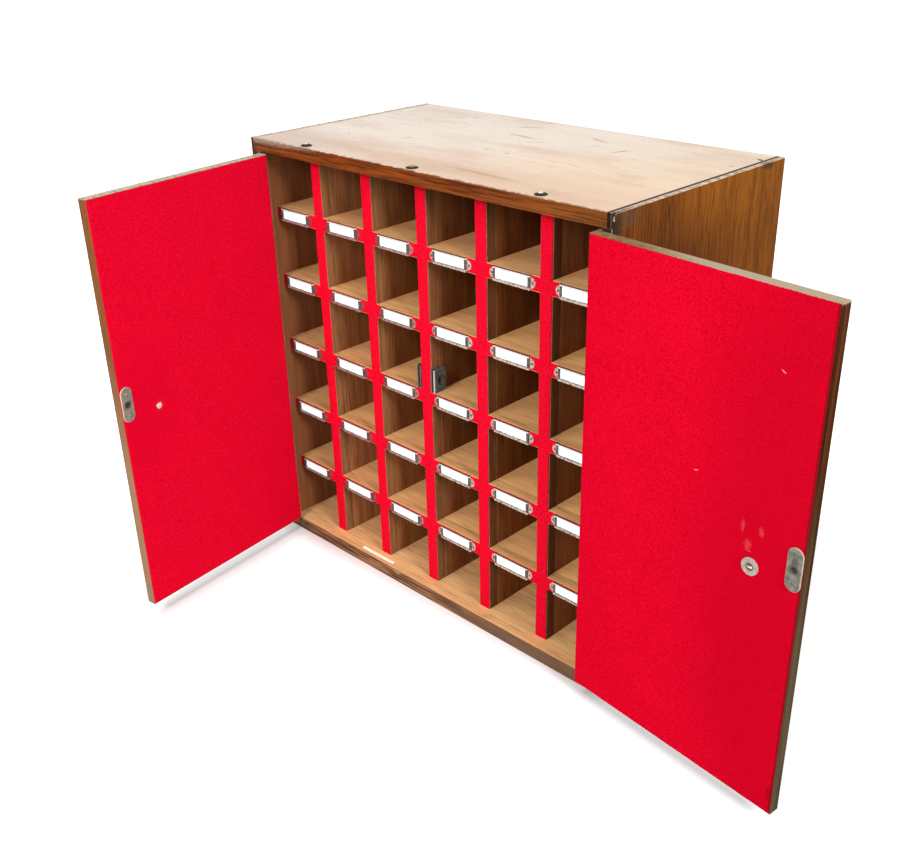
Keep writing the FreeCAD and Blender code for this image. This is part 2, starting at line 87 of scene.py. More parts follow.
# ---------------------------------------------------------------- shader graphs
class Graph:
    """Adds linked nodes to one shader tree.

    Attributes:
        tree: The tree.
        place: Where the shaded point is, in the coordinates that its patterns use.
        wood: Values of the wood that a timber finish starts from.
    """

    def __init__(self, tree: bpy.types.NodeTree) -> None:
        """Keeps the tree that the nodes go into."""
        self.tree = tree
        self.place: Any = None
        self.wood: Any = None

    def node(self, kind: str, **settings: Any) -> bpy.types.Node:
        """Adds a node.

        Args:
            kind: Node type, without its ShaderNode prefix.
            settings: Properties set on the node.

        Returns:
            The new node.
        """
        made = self.tree.nodes.new("ShaderNode" + kind)
        for name, value in settings.items():
            setattr(made, name, value)
        return made

    def feed(self, socket: Socket, value: Any) -> None:
        """Links a socket into another, or sets its plain value."""
        if isinstance(value, bpy.types.NodeSocket):
            self.tree.links.new(value, socket)
        elif isinstance(value, tuple) and len(value) == 3 and socket.type == "RGBA":
            socket.default_value = (*value, 1.0)
        else:
            socket.default_value = value

    def fill(self, sockets: Any, **values: Any) -> None:
        """Feeds sockets by name, with spaces as underscores."""
        for name, value in values.items():
            self.feed(sockets[name.replace("_", " ")], value)

    def shade(self, **values: Any) -> None:
        """Feeds the material's own shader by name."""
        self.fill(self.tree.nodes["Principled BSDF"].inputs, **values)

    def math(self, operation: str, *values: Any, clamp: bool = False) -> Socket:
        """Result of a Math node on one to three values."""
        made = self.node("Math", operation=operation, use_clamp=clamp)
        for socket, value in zip(made.inputs, values):
            self.feed(socket, value)
        return made.outputs[0]

    def times(self, first: Any, *others: Any) -> Any:
        """Product of values."""
        for other in others:
            first = self.math("MULTIPLY", first, other)
        return first

    def swing(self, value: Any, gain: Any, start: Any, clamp: bool = False) -> Socket:
        """Value times gain, added to start."""
        return self.math("MULTIPLY_ADD", value, gain, start, clamp=clamp)

    def vector(self, operation: str, *values: Any) -> Socket:
        """Vector result of a Vector Math node."""
        made = self.node("VectorMath", operation=operation)
        for socket, value in zip(made.inputs, values):
            self.feed(socket, value)
        return made.outputs[1] if operation in ("LENGTH", "DOT_PRODUCT") else made.outputs[0]

    def drawn(self, *factors: float) -> Socket:
        """The place with its X, Y and Z scaled, which draws patterns out along a small factor."""
        return self.vector("MULTIPLY", self.place, factors)

    def turned(self, vector: Socket, angle: Any) -> Socket:
        """A vector turned about Z."""
        made = self.node("VectorRotate", rotation_type="Z_AXIS")
        self.fill(made.inputs, Vector=vector, Angle=angle)
        return made.outputs[0]

    def parts(self, vector: Optional[Socket] = None) -> tuple[Socket, Socket, Socket]:
        """The X, Y and Z of a vector, or of the place."""
        made = self.node("SeparateXYZ")
        self.feed(made.inputs[0], vector or self.place)
        return made.outputs[0], made.outputs[1], made.outputs[2]

    def noise(self, scale: Any, detail: float = 3.0, vector: Optional[Socket] = None) -> Socket:
        """Cloudy value about 0.5, with scale in waves per metre."""
        made = self.node("TexNoise")
        self.fill(made.inputs, Vector=vector or self.place, Scale=scale, Detail=detail)
        return made.outputs[0]

    def patches(
        self, scale: Any, detail: float, low: float, high: float, vector: Optional[Socket] = None
    ) -> Socket:
        """Soft patches: a noise cut off between two levels."""
        return self.step(self.noise(scale, detail, vector), low, high)

    def step(self, value: Socket, low: Any, high: Any) -> Socket:
        """Smooth rise from 0 at low to 1 at high."""
        made = self.node("MapRange", interpolation_type="SMOOTHSTEP")
        self.fill(made.inputs, Value=value, From_Min=low, From_Max=high)
        return made.outputs[0]

    def fall(self, value: Socket, low: Any, high: Any) -> Socket:
        """Smooth drop from 1 at low to 0 at high."""
        return self.math("SUBTRACT", 1.0, self.step(value, low, high))

    def blend(self, factor: Any, first: Any, second: Any, mode: str = "MIX") -> Socket:
        """Colour mixed from two."""
        made = self.node("Mix", data_type="RGBA", blend_type=mode)
        for index, value in ((0, factor), (6, first), (7, second)):
            self.feed(made.inputs[index], value)
        return made.outputs[2]

    def lay(self, colour: Any, over: Any, *masks: Any) -> Socket:
        """Colour with another laid over it, by the product of the masks."""
        return self.blend(self.times(*masks), colour, over)

    def tint(self, colour: Any, factor: Any, *masks: Any) -> Socket:
        """Colour multiplied by another, everywhere or by the product of the masks."""
        tinted = self.blend(1.0, colour, factor, "MULTIPLY")
        return self.lay(colour, tinted, *masks) if masks else tinted

    def effect(self, group: bpy.types.NodeTree, **values: Any) -> Any:
        """Places a shared effect.

        Args:
            group: The effect.
            values: Its inputs by name. Its vector is the place unless it is given.

        Returns:
            Its outputs.
        """
        made = self.node("Group")
        made.node_tree = group
        self.fill(made.inputs, **{"Vector": self.place, **values})
        return made.outputs

    def bump(self, height: Socket, distance: float, strength: float = 1.0) -> Socket:
        """Normal raised by a height between 0 and 1 over a distance in metres."""
        made = self.node("Bump")
        self.fill(made.inputs, Height=height, Distance=distance, Strength=strength)
        return made.outputs[0]

    def seen(self) -> Socket:
        """1 on rays from the camera, from gloss and through glass, 0 on the rest."""
        path = self.node("LightPath").outputs
        seen = self.math("MAXIMUM", path["Is Camera Ray"], path["Is Transmission Ray"])
        return self.math("MAXIMUM", seen, path["Is Glossy Ray"])


class Effect(Graph):
    """Graph of a shared effect, with a vector and other inputs, and named values as outputs."""

    def __init__(self, name: str, gives: Sequence[str], **takes: Any) -> None:
        """Starts the effect.

        Args:
            name: Name of the effect.
            gives: Names of its values.
            takes: Inputs with their usual values. A tuple makes a vector.
        """
        super().__init__(bpy.data.node_groups.new(name, "ShaderNodeTree"))
        face = self.tree.interface
        for label, usual in {"Vector": (0.0, 0.0, 0.0), **takes}.items():
            kind = "NodeSocketVector" if isinstance(usual, tuple) else "NodeSocketFloat"
            made = face.new_socket(name=label.replace("_", " "), in_out="INPUT", socket_type=kind)
            made.default_value = usual
        for label in gives:
            face.new_socket(name=label, in_out="OUTPUT", socket_type="NodeSocketFloat")
        self.taken = self.tree.nodes.new("NodeGroupInput").outputs
        self.given = self.tree.nodes.new("NodeGroupOutput").inputs
        self.place = self.taken["Vector"]

    def give(self, **values: Any) -> bpy.types.NodeTree:
        """Feeds the effect's outputs, and hands over its tree."""
        self.fill(self.given, **values)
        return self.tree


@lru_cache(None)
def timber_effect() -> bpy.types.NodeTree:
    """Grain running along Z: rings are waves of the distance from a far pith, warped by a
    slow noise. Pores are a noise drawn out along the grain and cut off high."""
    graph = Effect("timber", ("Figure", "Pores", "Mottle", "Fibre"), Ring_Width=0.012, Warp=0.02,
                   Bands=0.16, Streaks=0.9, Pore_Size=620.0)
    x, y, _ = graph.parts()
    across = graph.math("POWER", graph.math("ADD", x, 0.93), 2.0)
    along = graph.math("POWER", graph.math("ADD", y, 0.61), 2.0)
    radius = graph.math("SQRT", graph.math("ADD", across, along))
    wander = graph.math("SUBTRACT", graph.noise(7.0, 4.0, graph.drawn(1.0, 1.0, 0.09)), 0.5)
    wander = graph.times(wander, graph.taken["Warp"])
    turns = graph.math("DIVIDE", graph.math("ADD", radius, wander), graph.taken["Ring Width"])
    wave = graph.math("SINE", graph.times(turns, math.tau))
    drawn = graph.drawn(1.0, 1.0, 0.035)
    fine, coarse = (graph.math("SUBTRACT", graph.noise(scale, 3.0, drawn), 0.5) for scale in (330.0, 105.0))
    figure = graph.swing(graph.swing(coarse, 0.8, fine), graph.taken["Streaks"], 0.5)
    pores = graph.patches(graph.taken["Pore Size"], 2.0, 0.575, 0.635, drawn)
    return graph.give(
        Figure=graph.swing(wave, graph.taken["Bands"], figure, clamp=True),
        Pores=graph.times(pores, graph.swing(wave, -0.22, 0.72)),
        Mottle=graph.noise(8.0, 4.0, graph.drawn(1.0, 1.0, 0.45)),
        Fibre=graph.noise(520.0, 3.0, drawn),
    )


@lru_cache(None)
def edge_effect() -> bpy.types.NodeTree:
    """Rubbed arrises: how far the rounded normal leans from the face's, broken by noise."""
    graph = Effect("edge wear", ("Edge",), Width=0.0015, Broken=0.5)
    rounded = graph.node("Bevel", samples=4)
    graph.fill(rounded.inputs, Radius=graph.taken["Width"])
    flat = graph.node("NewGeometry").outputs["True Normal"]
    lean = graph.vector("DOT_PRODUCT", rounded.outputs[0], flat)
    kept = graph.math("SUBTRACT", 1.0, graph.taken["Broken"])
    kept = graph.swing(graph.patches(75.0, 4.0, 0.38, 0.60), graph.taken["Broken"], kept)
    return graph.give(Edge=graph.math("MULTIPLY", graph.fall(lean, 0.72, 0.985), kept, clamp=True))


@lru_cache(None)
def nap_effect() -> bpy.types.NodeTree:
    """Felt: matted clumps about 2 mm wide, under single fibres about 0.4 mm wide."""
    graph = Effect("felt nap", ("Tone", "Height", "Lint"))
    clumps = graph.noise(480.0, 4.0)
    fibres = graph.noise(1900.0, 2.0)
    return graph.give(Tone=graph.swing(clumps, 0.6, graph.times(fibres, 0.4)),
                      Height=graph.swing(fibres, 0.6, clumps), Lint=graph.patches(640.0, 2.0, 0.60, 0.72))


@lru_cache(None)
def tarnish_effect() -> bpy.types.NodeTree:
    """Aged metal: soft clouds and small pits."""
    graph = Effect("tarnish", ("Clouds", "Pits"), Scale=220.0)
    scale = graph.taken["Scale"]
    return graph.give(Clouds=graph.patches(scale, 4.0, 0.34, 0.68),
                      Pits=graph.patches(graph.times(scale, 5.5), 2.0, 0.60, 0.70))


@lru_cache(None)
def mark_effect() -> bpy.types.NodeTree:
    """One ragged oval mark: 1 inside an oval of the given half sizes, 0 outside."""
    graph = Effect("mark", ("Mark",), Centre=(0.0, 0.0, 0.0), Half_Sizes=(0.01, 0.01, 0.01), Turn=0.0,
                   Ragged=0.5)
    away = graph.turned(graph.vector("SUBTRACT", graph.place, graph.taken["Centre"]), graph.taken["Turn"])
    reach = graph.vector("LENGTH", graph.vector("DIVIDE", away, graph.taken["Half Sizes"]))
    torn = graph.times(graph.math("SUBTRACT", graph.noise(420.0), 0.5), graph.taken["Ragged"])
    return graph.give(Mark=graph.fall(graph.swing(torn, 2.4, reach), 0.45, 1.0))


@lru_cache(None)
def scratch_effect() -> bpy.types.NodeTree:
    """Hairline scratches: thin level sets of two noises drawn out in crossing directions."""
    graph = Effect("scratches", ("Scratch",))
    lines = []
    for turn, stretch in ((0.35, 0.05), (-0.6, 0.08)):
        turned = graph.turned(graph.place, turn)
        drawn = graph.vector("MULTIPLY", turned, (stretch, 1.0, 1.0))
        off = graph.math("ABSOLUTE", graph.math("SUBTRACT", graph.noise(34.0, 1.0, drawn), 0.5))
        here = graph.patches(11.0 + 20 * stretch, 2.0, 0.55, 0.66, turned)
        lines.append(graph.times(graph.fall(off, 0.0, 0.006), here))
    return graph.give(Scratch=graph.math("MAXIMUM", *lines))


@lru_cache(None)
def bay_effect() -> bpy.types.NodeTree:
    """How far a point lies from the middle of the nearest card holder, across and up."""
    graph = Effect("bay", ("Across", "Up"))
    x, _, z = graph.parts()
    away = {}
    bays = (("Across", x, BAY_WIDTH / 2, BAY_WIDTH), ("Up", z, FIRST_HOLDER, BAY_HEIGHT))
    for name, value, middle, pitch in bays:
        away[name] = graph.math("WRAP", graph.math("SUBTRACT", value, middle), pitch / 2, -pitch / 2)
    return graph.give(**away)


# ---------------------------------------------------------------- finishes
@dataclass(frozen=True)
class Mark:
    """A stain, chip or rub at one place.

    Attributes:
        centre: Its place, in the coordinates of the surface that carries it.
        half_sizes: Half its length, width and depth.
        colour: What it turns the surface to.
        strength: How much of that colour shows.
        turn: Turn about Z, in radians.
        ragged: How torn its outline is.
    """

    centre: Colour
    half_sizes: Colour
    colour: Colour
    strength: float = 0.8
    turn: float = 0.0
    ragged: float = 0.5


@dataclass(frozen=True)
class Finish:
    """A surface finish, made into one material the first time it is used."""

    name: str

    def material(self) -> bpy.types.Material:
        """The finish's material."""
        label = "finish_" + self.name
        known = bpy.data.materials.get(label)
        if known:
            return known
        made = bpy.data.materials.new(label)
        made.use_nodes = True
        graph = Graph(made.node_tree)
        graph.place = graph.node("TexCoord").outputs["Object"]
        self.paint(graph)
        return made

    def paint(self, graph: Graph) -> None:
        """Sets the shader's colour, roughness and relief."""
        raise NotImplementedError

    def zones(self, graph: Graph, colour: Socket) -> Socket:
        """Recolours parts of the piece. A plain one has none."""
        return colour

    @staticmethod
    def marked(graph: Graph, colour: Socket, marks: Sequence[Mark], place: Optional[Socket] = None) -> Socket:
        """Lays marks over a colour, in order.

        Args:
            graph: Graph to add to.
            colour: Colour under the marks.
            marks: The marks.
            place: Coordinates in which the marks are given, if not the graph's own.

        Returns:
            The marked colour.
        """
        for mark in marks:
            spot = graph.effect(mark_effect(), Vector=place or graph.place, Centre=mark.centre,
                                Half_Sizes=mark.half_sizes, Turn=mark.turn, Ragged=mark.ragged)
            colour = graph.lay(colour, mark.colour, spot[0], mark.strength)
        return colour


@dataclass(frozen=True)
class Timber(Finish):
    """Varnished wood with figure, pores, rubbed arrises and marks."""

    light: Colour = (0.30, 0.14, 0.05)
    dark: Colour = (0.17, 0.07, 0.02)
    pore: Colour = (0.05, 0.02, 0.01)
    worn: Colour = (0.45, 0.30, 0.18)
    grain: Grain = Grain.UPRIGHT
    ring_width: float = 0.011
    warp: float = 0.03
    bands: float = 0.16
    streaks: float = 0.9
    pore_size: float = 620.0
    pore_strength: float = 0.55
    wear_width: float = 0.0014
    wear: float = 0.55
    mottle: float = 0.35
    contrast: float = 0.9
    roughness: float = 0.50
    gloss: float = 0.10
    coat: float = 0.0
    marks: tuple[Mark, ...] = ()

    def paint(self, graph: Graph) -> None:
        """Sets the shader's colour, roughness and relief."""
        along = graph.node("Mapping", vector_type="POINT")
        graph.fill(along.inputs, Vector=graph.place, Rotation=self.grain.value)
        wood = graph.effect(timber_effect(), Vector=along.outputs[0], Ring_Width=self.ring_width,
                            Warp=self.warp, Bands=self.bands, Streaks=self.streaks, Pore_Size=self.pore_size)
        graph.wood = wood
        colour = graph.blend(wood["Figure"], self.dark, self.light)
        colour = graph.lay(colour, self.pore, wood["Pores"], self.pore_strength)
        grey = graph.node("CombineColor")
        shade = graph.times(graph.swing(wood["Mottle"], self.mottle, 1.0 - self.mottle / 2),
                            graph.swing(wood["Fibre"], self.contrast, 1.0 - self.contrast / 2))
        for socket in grey.inputs[:3]:
            graph.feed(socket, shade)
        colour = self.zones(graph, graph.tint(colour, grey.outputs[0]))
        edge = graph.effect(edge_effect(), Width=self.wear_width)
        rubbed = graph.times(edge[0], self.wear)
        colour = self.marked(graph, graph.lay(colour, self.worn, rubbed), self.marks)
        dull = graph.swing(wood["Mottle"], 0.22, self.roughness - 0.11)
        relief = graph.swing(wood["Pores"], -1.0, wood["Fibre"])
        graph.shade(Base_Color=colour, Roughness=graph.swing(rubbed, 0.25, dull),
                    Specular_IOR_Level=self.gloss, Coat_Weight=self.coat, Coat_Roughness=0.32,
                    Normal=graph.bump(relief, 0.00012, 0.6))


@dataclass(frozen=True)
class TopTimber(Timber):
    """Top board: pale upper face whose paleness is partly painted sheen, red-brown front edge and dark joints
    at its ends.
    """

    face_and_sheen_light: Colour = (0.925, 0.785, 0.655)
    face_and_sheen_dark: Colour = (0.815, 0.665, 0.530)
    face_height: float = 0.7095
    joint: float = 0.3518
    strip: Colour = (0.73, 0.57, 0.43)
    sheen_back: Colour = (1.05, 1.10, 1.17)
    sheen_front: Colour = (0.97, 0.885, 0.78)
    front: Colour = (0.90, 0.85, 0.85)
    end: Colour = (0.27, 0.095, 0.013)
    vein: Colour = (0.050, 0.011, 0.002)
    cloud: Colour = (0.58, 0.38, 0.25)
    fleck: Colour = (0.40, 0.22, 0.13)
    scratch: Colour = (0.30, 0.16, 0.09)
    worn_front: Colour = (0.12, 0.055, 0.030)
    gap: Colour = (0.012, 0.008, 0.006)

    def zones(self, graph: Graph, colour: Socket) -> Socket:
        """Lays the pale face, partly painted sheen, over the board's own colour, then its joints and
        scratches.
        """
        x, y, z = graph.parts()
        colour = graph.lay(colour, self.end, graph.step(x, 0.10, 0.34), 0.35)
        colour = graph.lay(colour, self.vein, graph.fall(graph.wood["Fibre"], 0.40, 0.52), 0.55)
        # The pale face colours hold painted sheen as well as the wood's own tone.
        face = graph.blend(graph.swing(graph.wood["Figure"], 0.65, 0.175), self.face_and_sheen_dark, self.face_and_sheen_light)
        clouds = graph.patches(15.0, 6.0, 0.44, 0.72, graph.drawn(0.45, 1.0, 1.0))
        face = graph.lay(face, self.cloud, clouds, 0.36)
        forward = graph.math("SUBTRACT", graph.times(x, 0.8), y)
        # Painted sheen: the face turns paler and cooler towards the back, and warmer and a little darker
        # towards the front.
        face = graph.tint(face, graph.blend(graph.step(forward, -0.20, 0.40), self.sheen_back, self.sheen_front))
        face = graph.tint(face, self.front, graph.fall(y, -0.18, -0.02))
        flecks = graph.patches(170.0, 3.0, 0.60, 0.72, graph.drawn(0.3, 1.0, 1.0))
        face = graph.lay(face, self.fleck, flecks, 0.20)
        face = graph.lay(face, self.scratch, graph.effect(scratch_effect())[0], 0.5)
        ragged = graph.swing(graph.noise(110.0, 5.0), -0.014, y)
        ragged = graph.swing(graph.noise(420.0), -0.012, ragged)
        leftward = graph.swing(graph.step(x, -0.05, 0.30), -0.25, 0.9)
        face = graph.lay(face, self.worn_front, graph.fall(ragged, -0.2077, -0.2059), leftward)
        out = graph.math("ABSOLUTE", x)
        face = graph.lay(face, self.strip, graph.step(out, self.joint, self.joint + 0.0004))
        colour = graph.lay(colour, face, graph.step(z, self.face_height - EDGE_SHARP, self.face_height))
        line = graph.times(graph.step(out, self.joint - 0.0044, self.joint - 0.0036),
                           graph.fall(out, self.joint + 0.0010, self.joint + 0.0014))
        return graph.lay(colour, self.gap, line, graph.swing(graph.step(x, -0.1, 0.1), 0.66, 0.34))


@dataclass(frozen=True)
class SideTimber(Timber):
    """Side board: orange-brown outside, dark brown inside."""

    inner_light: Colour = (0.294, 0.112, 0.044)
    inner_dark: Colour = (0.166, 0.057, 0.023)
    inner_face: float = 0.3415
    lap_height: float = 0.7095
    lap_light: Colour = (0.73, 0.58, 0.45)
    lap_dark: Colour = (0.40, 0.27, 0.17)
    low_dull: Colour = (0.48, 0.40, 0.39)
    front_dull: Colour = (0.67, 0.60, 0.74)
    vein: Colour = (0.055, 0.016, 0.002)

    def zones(self, graph: Graph, colour: Socket) -> Socket:
        """Darkens the board downwards and inside, and bleaches the end grain on top."""
        x, y, z = graph.parts()
        colour = graph.lay(colour, self.vein, graph.fall(graph.wood["Fibre"], 0.38, 0.50), 0.38)
        forward = graph.swing(graph.step(y, -0.05, 0.15), -0.45, 1.0)
        colour = graph.tint(colour, self.low_dull, graph.fall(z, 0.605, 0.705), forward)
        colour = graph.tint(colour, self.front_dull, graph.fall(y, -0.12, 0.03))
        inner = graph.blend(graph.wood["Figure"], self.inner_dark, self.inner_light)
        within = graph.fall(graph.math("ABSOLUTE", x), self.inner_face, self.inner_face + EDGE_SHARP)
        colour = graph.lay(colour, inner, within)
        lap = graph.blend(graph.patches(90.0, 4.0, 0.40, 0.60), self.lap_dark, self.lap_light)
        return graph.lay(colour, lap, graph.step(z, self.lap_height - EDGE_SHARP, self.lap_height))


@dataclass(frozen=True)
class FloorTimber(Timber):
    """Bottom board: tan inside the case, purple-brown on its front edge."""

    edge_light: Colour = (0.33, 0.170, 0.080)
    edge_dark: Colour = (0.060, 0.024, 0.012)
    front: float = -0.195

    def zones(self, graph: Graph, colour: Socket) -> Socket:
        """Darkens the front edge."""
        _, y, _ = graph.parts()
        edge = graph.blend(graph.step(graph.wood["Fibre"], 0.36, 0.62), self.edge_dark, self.edge_light)
        return graph.lay(colour, edge, graph.fall(y, self.front + 0.0004, self.front + 0.0012))


@dataclass(frozen=True)
class DividerTimber(Timber):
    """Dividers: painted light makes them paler near the top and bottom of the case."""

    head: Colour = (1.20, 1.26, 1.36)
    foot: Colour = (1.38, 1.45, 1.56)

    def zones(self, graph: Graph, colour: Socket) -> Socket:
        """Paints light onto the head and the foot of the board."""
        _, _, z = graph.parts()
        colour = graph.tint(colour, self.head, graph.step(z, 0.56, 0.64))
        return graph.tint(colour, self.foot, graph.fall(z, 0.15, 0.28))


@dataclass(frozen=True)
class StripTimber(Timber):
    """Front strips of the dividers: painted shade makes them darker towards the right-hand side of the case.
    """

    dull: Colour = (0.52, 0.44, 0.42)

    def zones(self, graph: Graph, colour: Socket) -> Socket:
        """Paints shade on the strips, deepening from left to right."""
        return graph.tint(colour, self.dull, graph.step(graph.parts()[0], -0.10, 0.10))


@dataclass(frozen=True)
class FadedTimber(Timber):
    """Door edge strips: one colour at the foot, another at the head, pale along the very top."""

    foot_light: Colour = (0.42, 0.29, 0.17)
    foot_dark: Colour = (0.27, 0.17, 0.09)
    crest: Colour = (0.55, 0.46, 0.37)
    crest_height: float = 0.6875

    def zones(self, graph: Graph, colour: Socket) -> Socket:
        """Fades the strip towards its foot and bleaches its top."""
        _, _, z = graph.parts()
        foot = graph.blend(graph.wood["Figure"], self.foot_dark, self.foot_light)
        uneven = graph.swing(graph.wood["Mottle"], 0.25, z)
        colour = graph.lay(colour, foot, graph.fall(uneven, 0.34, 0.62))
        patchy = graph.patches(170.0, 4.0, 0.36, 0.52, graph.drawn(0.5, 1.0, 1.0))
        crest = graph.blend(patchy, graph.blend(0.5, self.crest, colour), self.crest)
        return graph.lay(colour, crest, graph.step(z, self.crest_height - EDGE_SHARP, self.crest_height))


@dataclass(frozen=True)
class Felt(Finish):
    """Matted wool felt with a soft bloom, lint and marks.

    Attributes:
        colour: Tips of the nap.
        deep: Between the clumps.
        bloom: Broad faint clouds.
        lint: Pale specks.
        marks: Rubs and stains.
        mapped: Whether marks are placed by the piece's own flat map, and not by its place.
    """

    colour: Colour = (0.84, 0.005, 0.032)
    deep: Colour = (0.66, 0.0004, 0.014)
    bloom: Colour = (0.92, 0.004, 0.03)
    lint: Colour = (0.92, 0.030, 0.055)
    marks: tuple[Mark, ...] = ()
    mapped: bool = False

    def paint(self, graph: Graph) -> None:
        """Sets the shader's colour, roughness and relief."""
        nap = graph.effect(nap_effect())
        colour = graph.blend(graph.step(nap["Tone"], 0.36, 0.62), self.deep, self.colour)
        colour = graph.lay(colour, self.bloom, graph.patches(9.0, 3.0, 0.35, 0.70), 0.10)
        colour = graph.lay(colour, self.lint, nap["Lint"], 0.30)
        flat = graph.node("UVMap", uv_map="flat").outputs[0] if self.mapped else graph.place
        colour = self.zones(graph, self.marked(graph, colour, self.marks, flat))
        graph.shade(Base_Color=colour, Roughness=0.94, Specular_IOR_Level=0.0,
                    Normal=graph.bump(nap["Height"], 0.0005, 0.65))


@dataclass(frozen=True)
class StripFelt(Felt):
    """Felt of the front strips, darkened by soiling and painted shade where it meets the upper rims of the
    card holders.
    """

    soil_and_shade: Colour = (0.07, 0.014, 0.010)
    reach: float = 0.0405
    soil_and_shade_from: float = 0.0094

    def zones(self, graph: Graph, colour: Socket) -> Socket:
        """Darkens a line over each holder: soiling and painted shade."""
        bay = graph.effect(bay_effect())
        over = graph.times(graph.step(bay["Up"], self.soil_and_shade_from, self.soil_and_shade_from + 0.0008),
                           graph.fall(graph.math("ABSOLUTE", bay["Across"]), self.reach - 0.003, self.reach))
        uneven = graph.swing(graph.patches(150.0, 3.0, 0.30, 0.50), 0.3, 0.65)
        return graph.lay(colour, self.soil_and_shade, over, uneven)


@dataclass(frozen=True)
class Metal(Finish):
    """Aged metal: clouds of a second colour, pits, and brighter rubbed arrises."""

    colour: Colour = (0.45, 0.42, 0.38)
    aged: Colour = (0.24, 0.21, 0.18)
    bright: Colour = (0.80, 0.76, 0.70)
    pit: Colour = (0.07, 0.06, 0.05)
    metallic: float = 0.75
    roughness: float = 0.42
    scale: float = 220.0
    pitting: float = 0.4
    edge_width: float = 0.0005
    edge: float = 0.7
    gloss: float = 0.5
    marks: tuple[Mark, ...] = ()

    def paint(self, graph: Graph) -> None:
        """Sets the shader's colour, roughness and relief."""
        age = graph.effect(tarnish_effect(), Scale=self.scale)
        pits = graph.times(age["Pits"], self.pitting)
        colour = graph.lay(graph.blend(age["Clouds"], self.colour, self.aged), self.pit, pits)
        rim = graph.effect(edge_effect(), Width=self.edge_width, Broken=0.3)
        colour = self.zones(graph, graph.lay(colour, self.bright, rim[0], self.edge))
        graph.shade(
            Base_Color=self.marked(graph, colour, self.marks), Specular_IOR_Level=self.gloss,
            Roughness=graph.swing(age["Clouds"], 0.2, self.roughness),
            Metallic=graph.swing(pits, -0.5, self.metallic, clamp=True),
            Normal=graph.bump(age["Pits"], -0.0001, 0.5),
        )


@dataclass(frozen=True)
class PlateMetal(Metal):
    """Round-ended plate with a pale filed rim. Reach is the distance from its middle line."""

    middle: Colour = (0.0, 0.0, 0.0)
    along: Colour = (1.0, 0.0, 0.0)
    half_line: float = 0.018
    rim_from: float = 0.0091

    def zones(self, graph: Graph, colour: Socket) -> Socket:
        """Pales the rim."""
        away = graph.vector("SUBTRACT", graph.place, self.middle)
        across = graph.vector("DOT_PRODUCT", away, self.along)
        up = graph.math("ABSOLUTE", graph.parts(away)[2])
        over = graph.math("MAXIMUM", graph.math("SUBTRACT", up, self.half_line), 0.0)
        squares = (graph.math("POWER", value, 2.0) for value in (across, over))
        reach = graph.math("SQRT", graph.math("ADD", *squares))
        rim = graph.step(reach, self.rim_from, self.rim_from + 0.0008)
        broken = graph.swing(graph.patches(180.0, 3.0, 0.30, 0.48), 0.5, 0.25)
        return graph.lay(colour, self.bright, rim, broken)


@dataclass(frozen=True)
class HolderMetal(Metal):
    """Card holders: dark upper rim with a bright lip, lower rim with a painted highlight, and ears with
    painted light and shade, paler to the right.
    """

    lit_low_rim: Colour = (0.36, 0.24, 0.22)
    lit_low_rim_right: Colour = (0.54, 0.46, 0.38)
    top_rim: Colour = (0.045, 0.028, 0.020)
    top_lip: Colour = (0.84, 0.82, 0.80)
    ear: Colour = (0.36, 0.045, 0.055)
    ear_right: Colour = (0.60, 0.53, 0.43)
    lip_half: float = 0.0090
    window_half: float = 0.0072
    frame_half: float = 0.0330
    soft: float = 0.0004

    def zones(self, graph: Graph, colour: Socket) -> Socket:
        """Colours the rims and ears by their place in the bay, with painted highlight and shade."""
        bay = graph.effect(bay_effect())
        up, out = bay["Up"], graph.math("ABSOLUTE", bay["Across"])
        rightward = graph.step(graph.parts()[0], -0.12, 0.12)
        # Painted highlight along the lower rim, paler towards the right.
        lit_low_rim = graph.blend(rightward, self.lit_low_rim, self.lit_low_rim_right)
        colour = graph.lay(colour, lit_low_rim, graph.fall(up, -self.window_half - self.soft, -self.window_half),
                           graph.patches(300.0, 3.0, 0.35, 0.52))
        lip = graph.step(up, self.lip_half, self.lip_half + EDGE_SHARP)
        rim = graph.blend(lip, self.top_lip, self.top_rim)
        colour = graph.lay(colour, rim, graph.step(up, self.window_half, self.window_half + self.soft), 0.85)
        # Painted light and shade on the ears: dark red to the left, pale to the right.
        ear = graph.step(out, self.frame_half, self.frame_half + self.soft)
        pale = graph.blend(rightward, self.ear, self.ear_right)
        return graph.lay(colour, pale, ear, graph.times(graph.patches(420.0, 3.0, 0.36, 0.50), 0.9))


@dataclass(frozen=True)
class Paper(Finish):
    """Matt paper with faint fibres and a few foxed specks, with painted light from its glow."""

    colour: Colour = (0.90, 0.90, 0.88)
    fox: Colour = (0.35, 0.30, 0.24)
    fibre: Colour = (0.75, 0.70, 0.60)
    specks: float = 0.5
    # Painted light: strength of the paper's own glow.
    glow: float = 0.0

    def paint(self, graph: Graph) -> None:
        """Sets the shader's colour, roughness and relief."""
        fibre = graph.noise(900.0)
        tone = graph.lay(self.colour, self.fibre, fibre, 0.06)
        tone = graph.lay(tone, self.fox, graph.patches(260.0, 1.0, 0.74, 0.79), self.specks)
        # The emission is painted light: a pale cyan glow that brightens the paper and offsets the red light
        # from the felt.
        graph.shade(Base_Color=self.zones(graph, tone), Roughness=0.8, Specular_IOR_Level=0.1,
                    Emission_Color=(0.5, 1.0, 1.0), Emission_Strength=self.glow,
                    Normal=graph.bump(fibre, 0.00005, 0.4))


@dataclass(frozen=True)
class CardPaper(Paper):
    """Blank cards with a broken painted shadow where they slip under the rims."""

    rim_shadow: Colour = (0.06, 0.035, 0.025)
    rim_shadow_from: float = 0.0063

    def zones(self, graph: Graph, colour: Socket) -> Socket:
        """Paints shadow along the upper and lower edges of each card."""
        away = graph.math("ABSOLUTE", graph.effect(bay_effect())["Up"])
        line = graph.step(away, self.rim_shadow_from, self.rim_shadow_from + EDGE_SHARP)
        return graph.lay(colour, self.rim_shadow, line, graph.patches(240.0, 3.0, 0.40, 0.52))


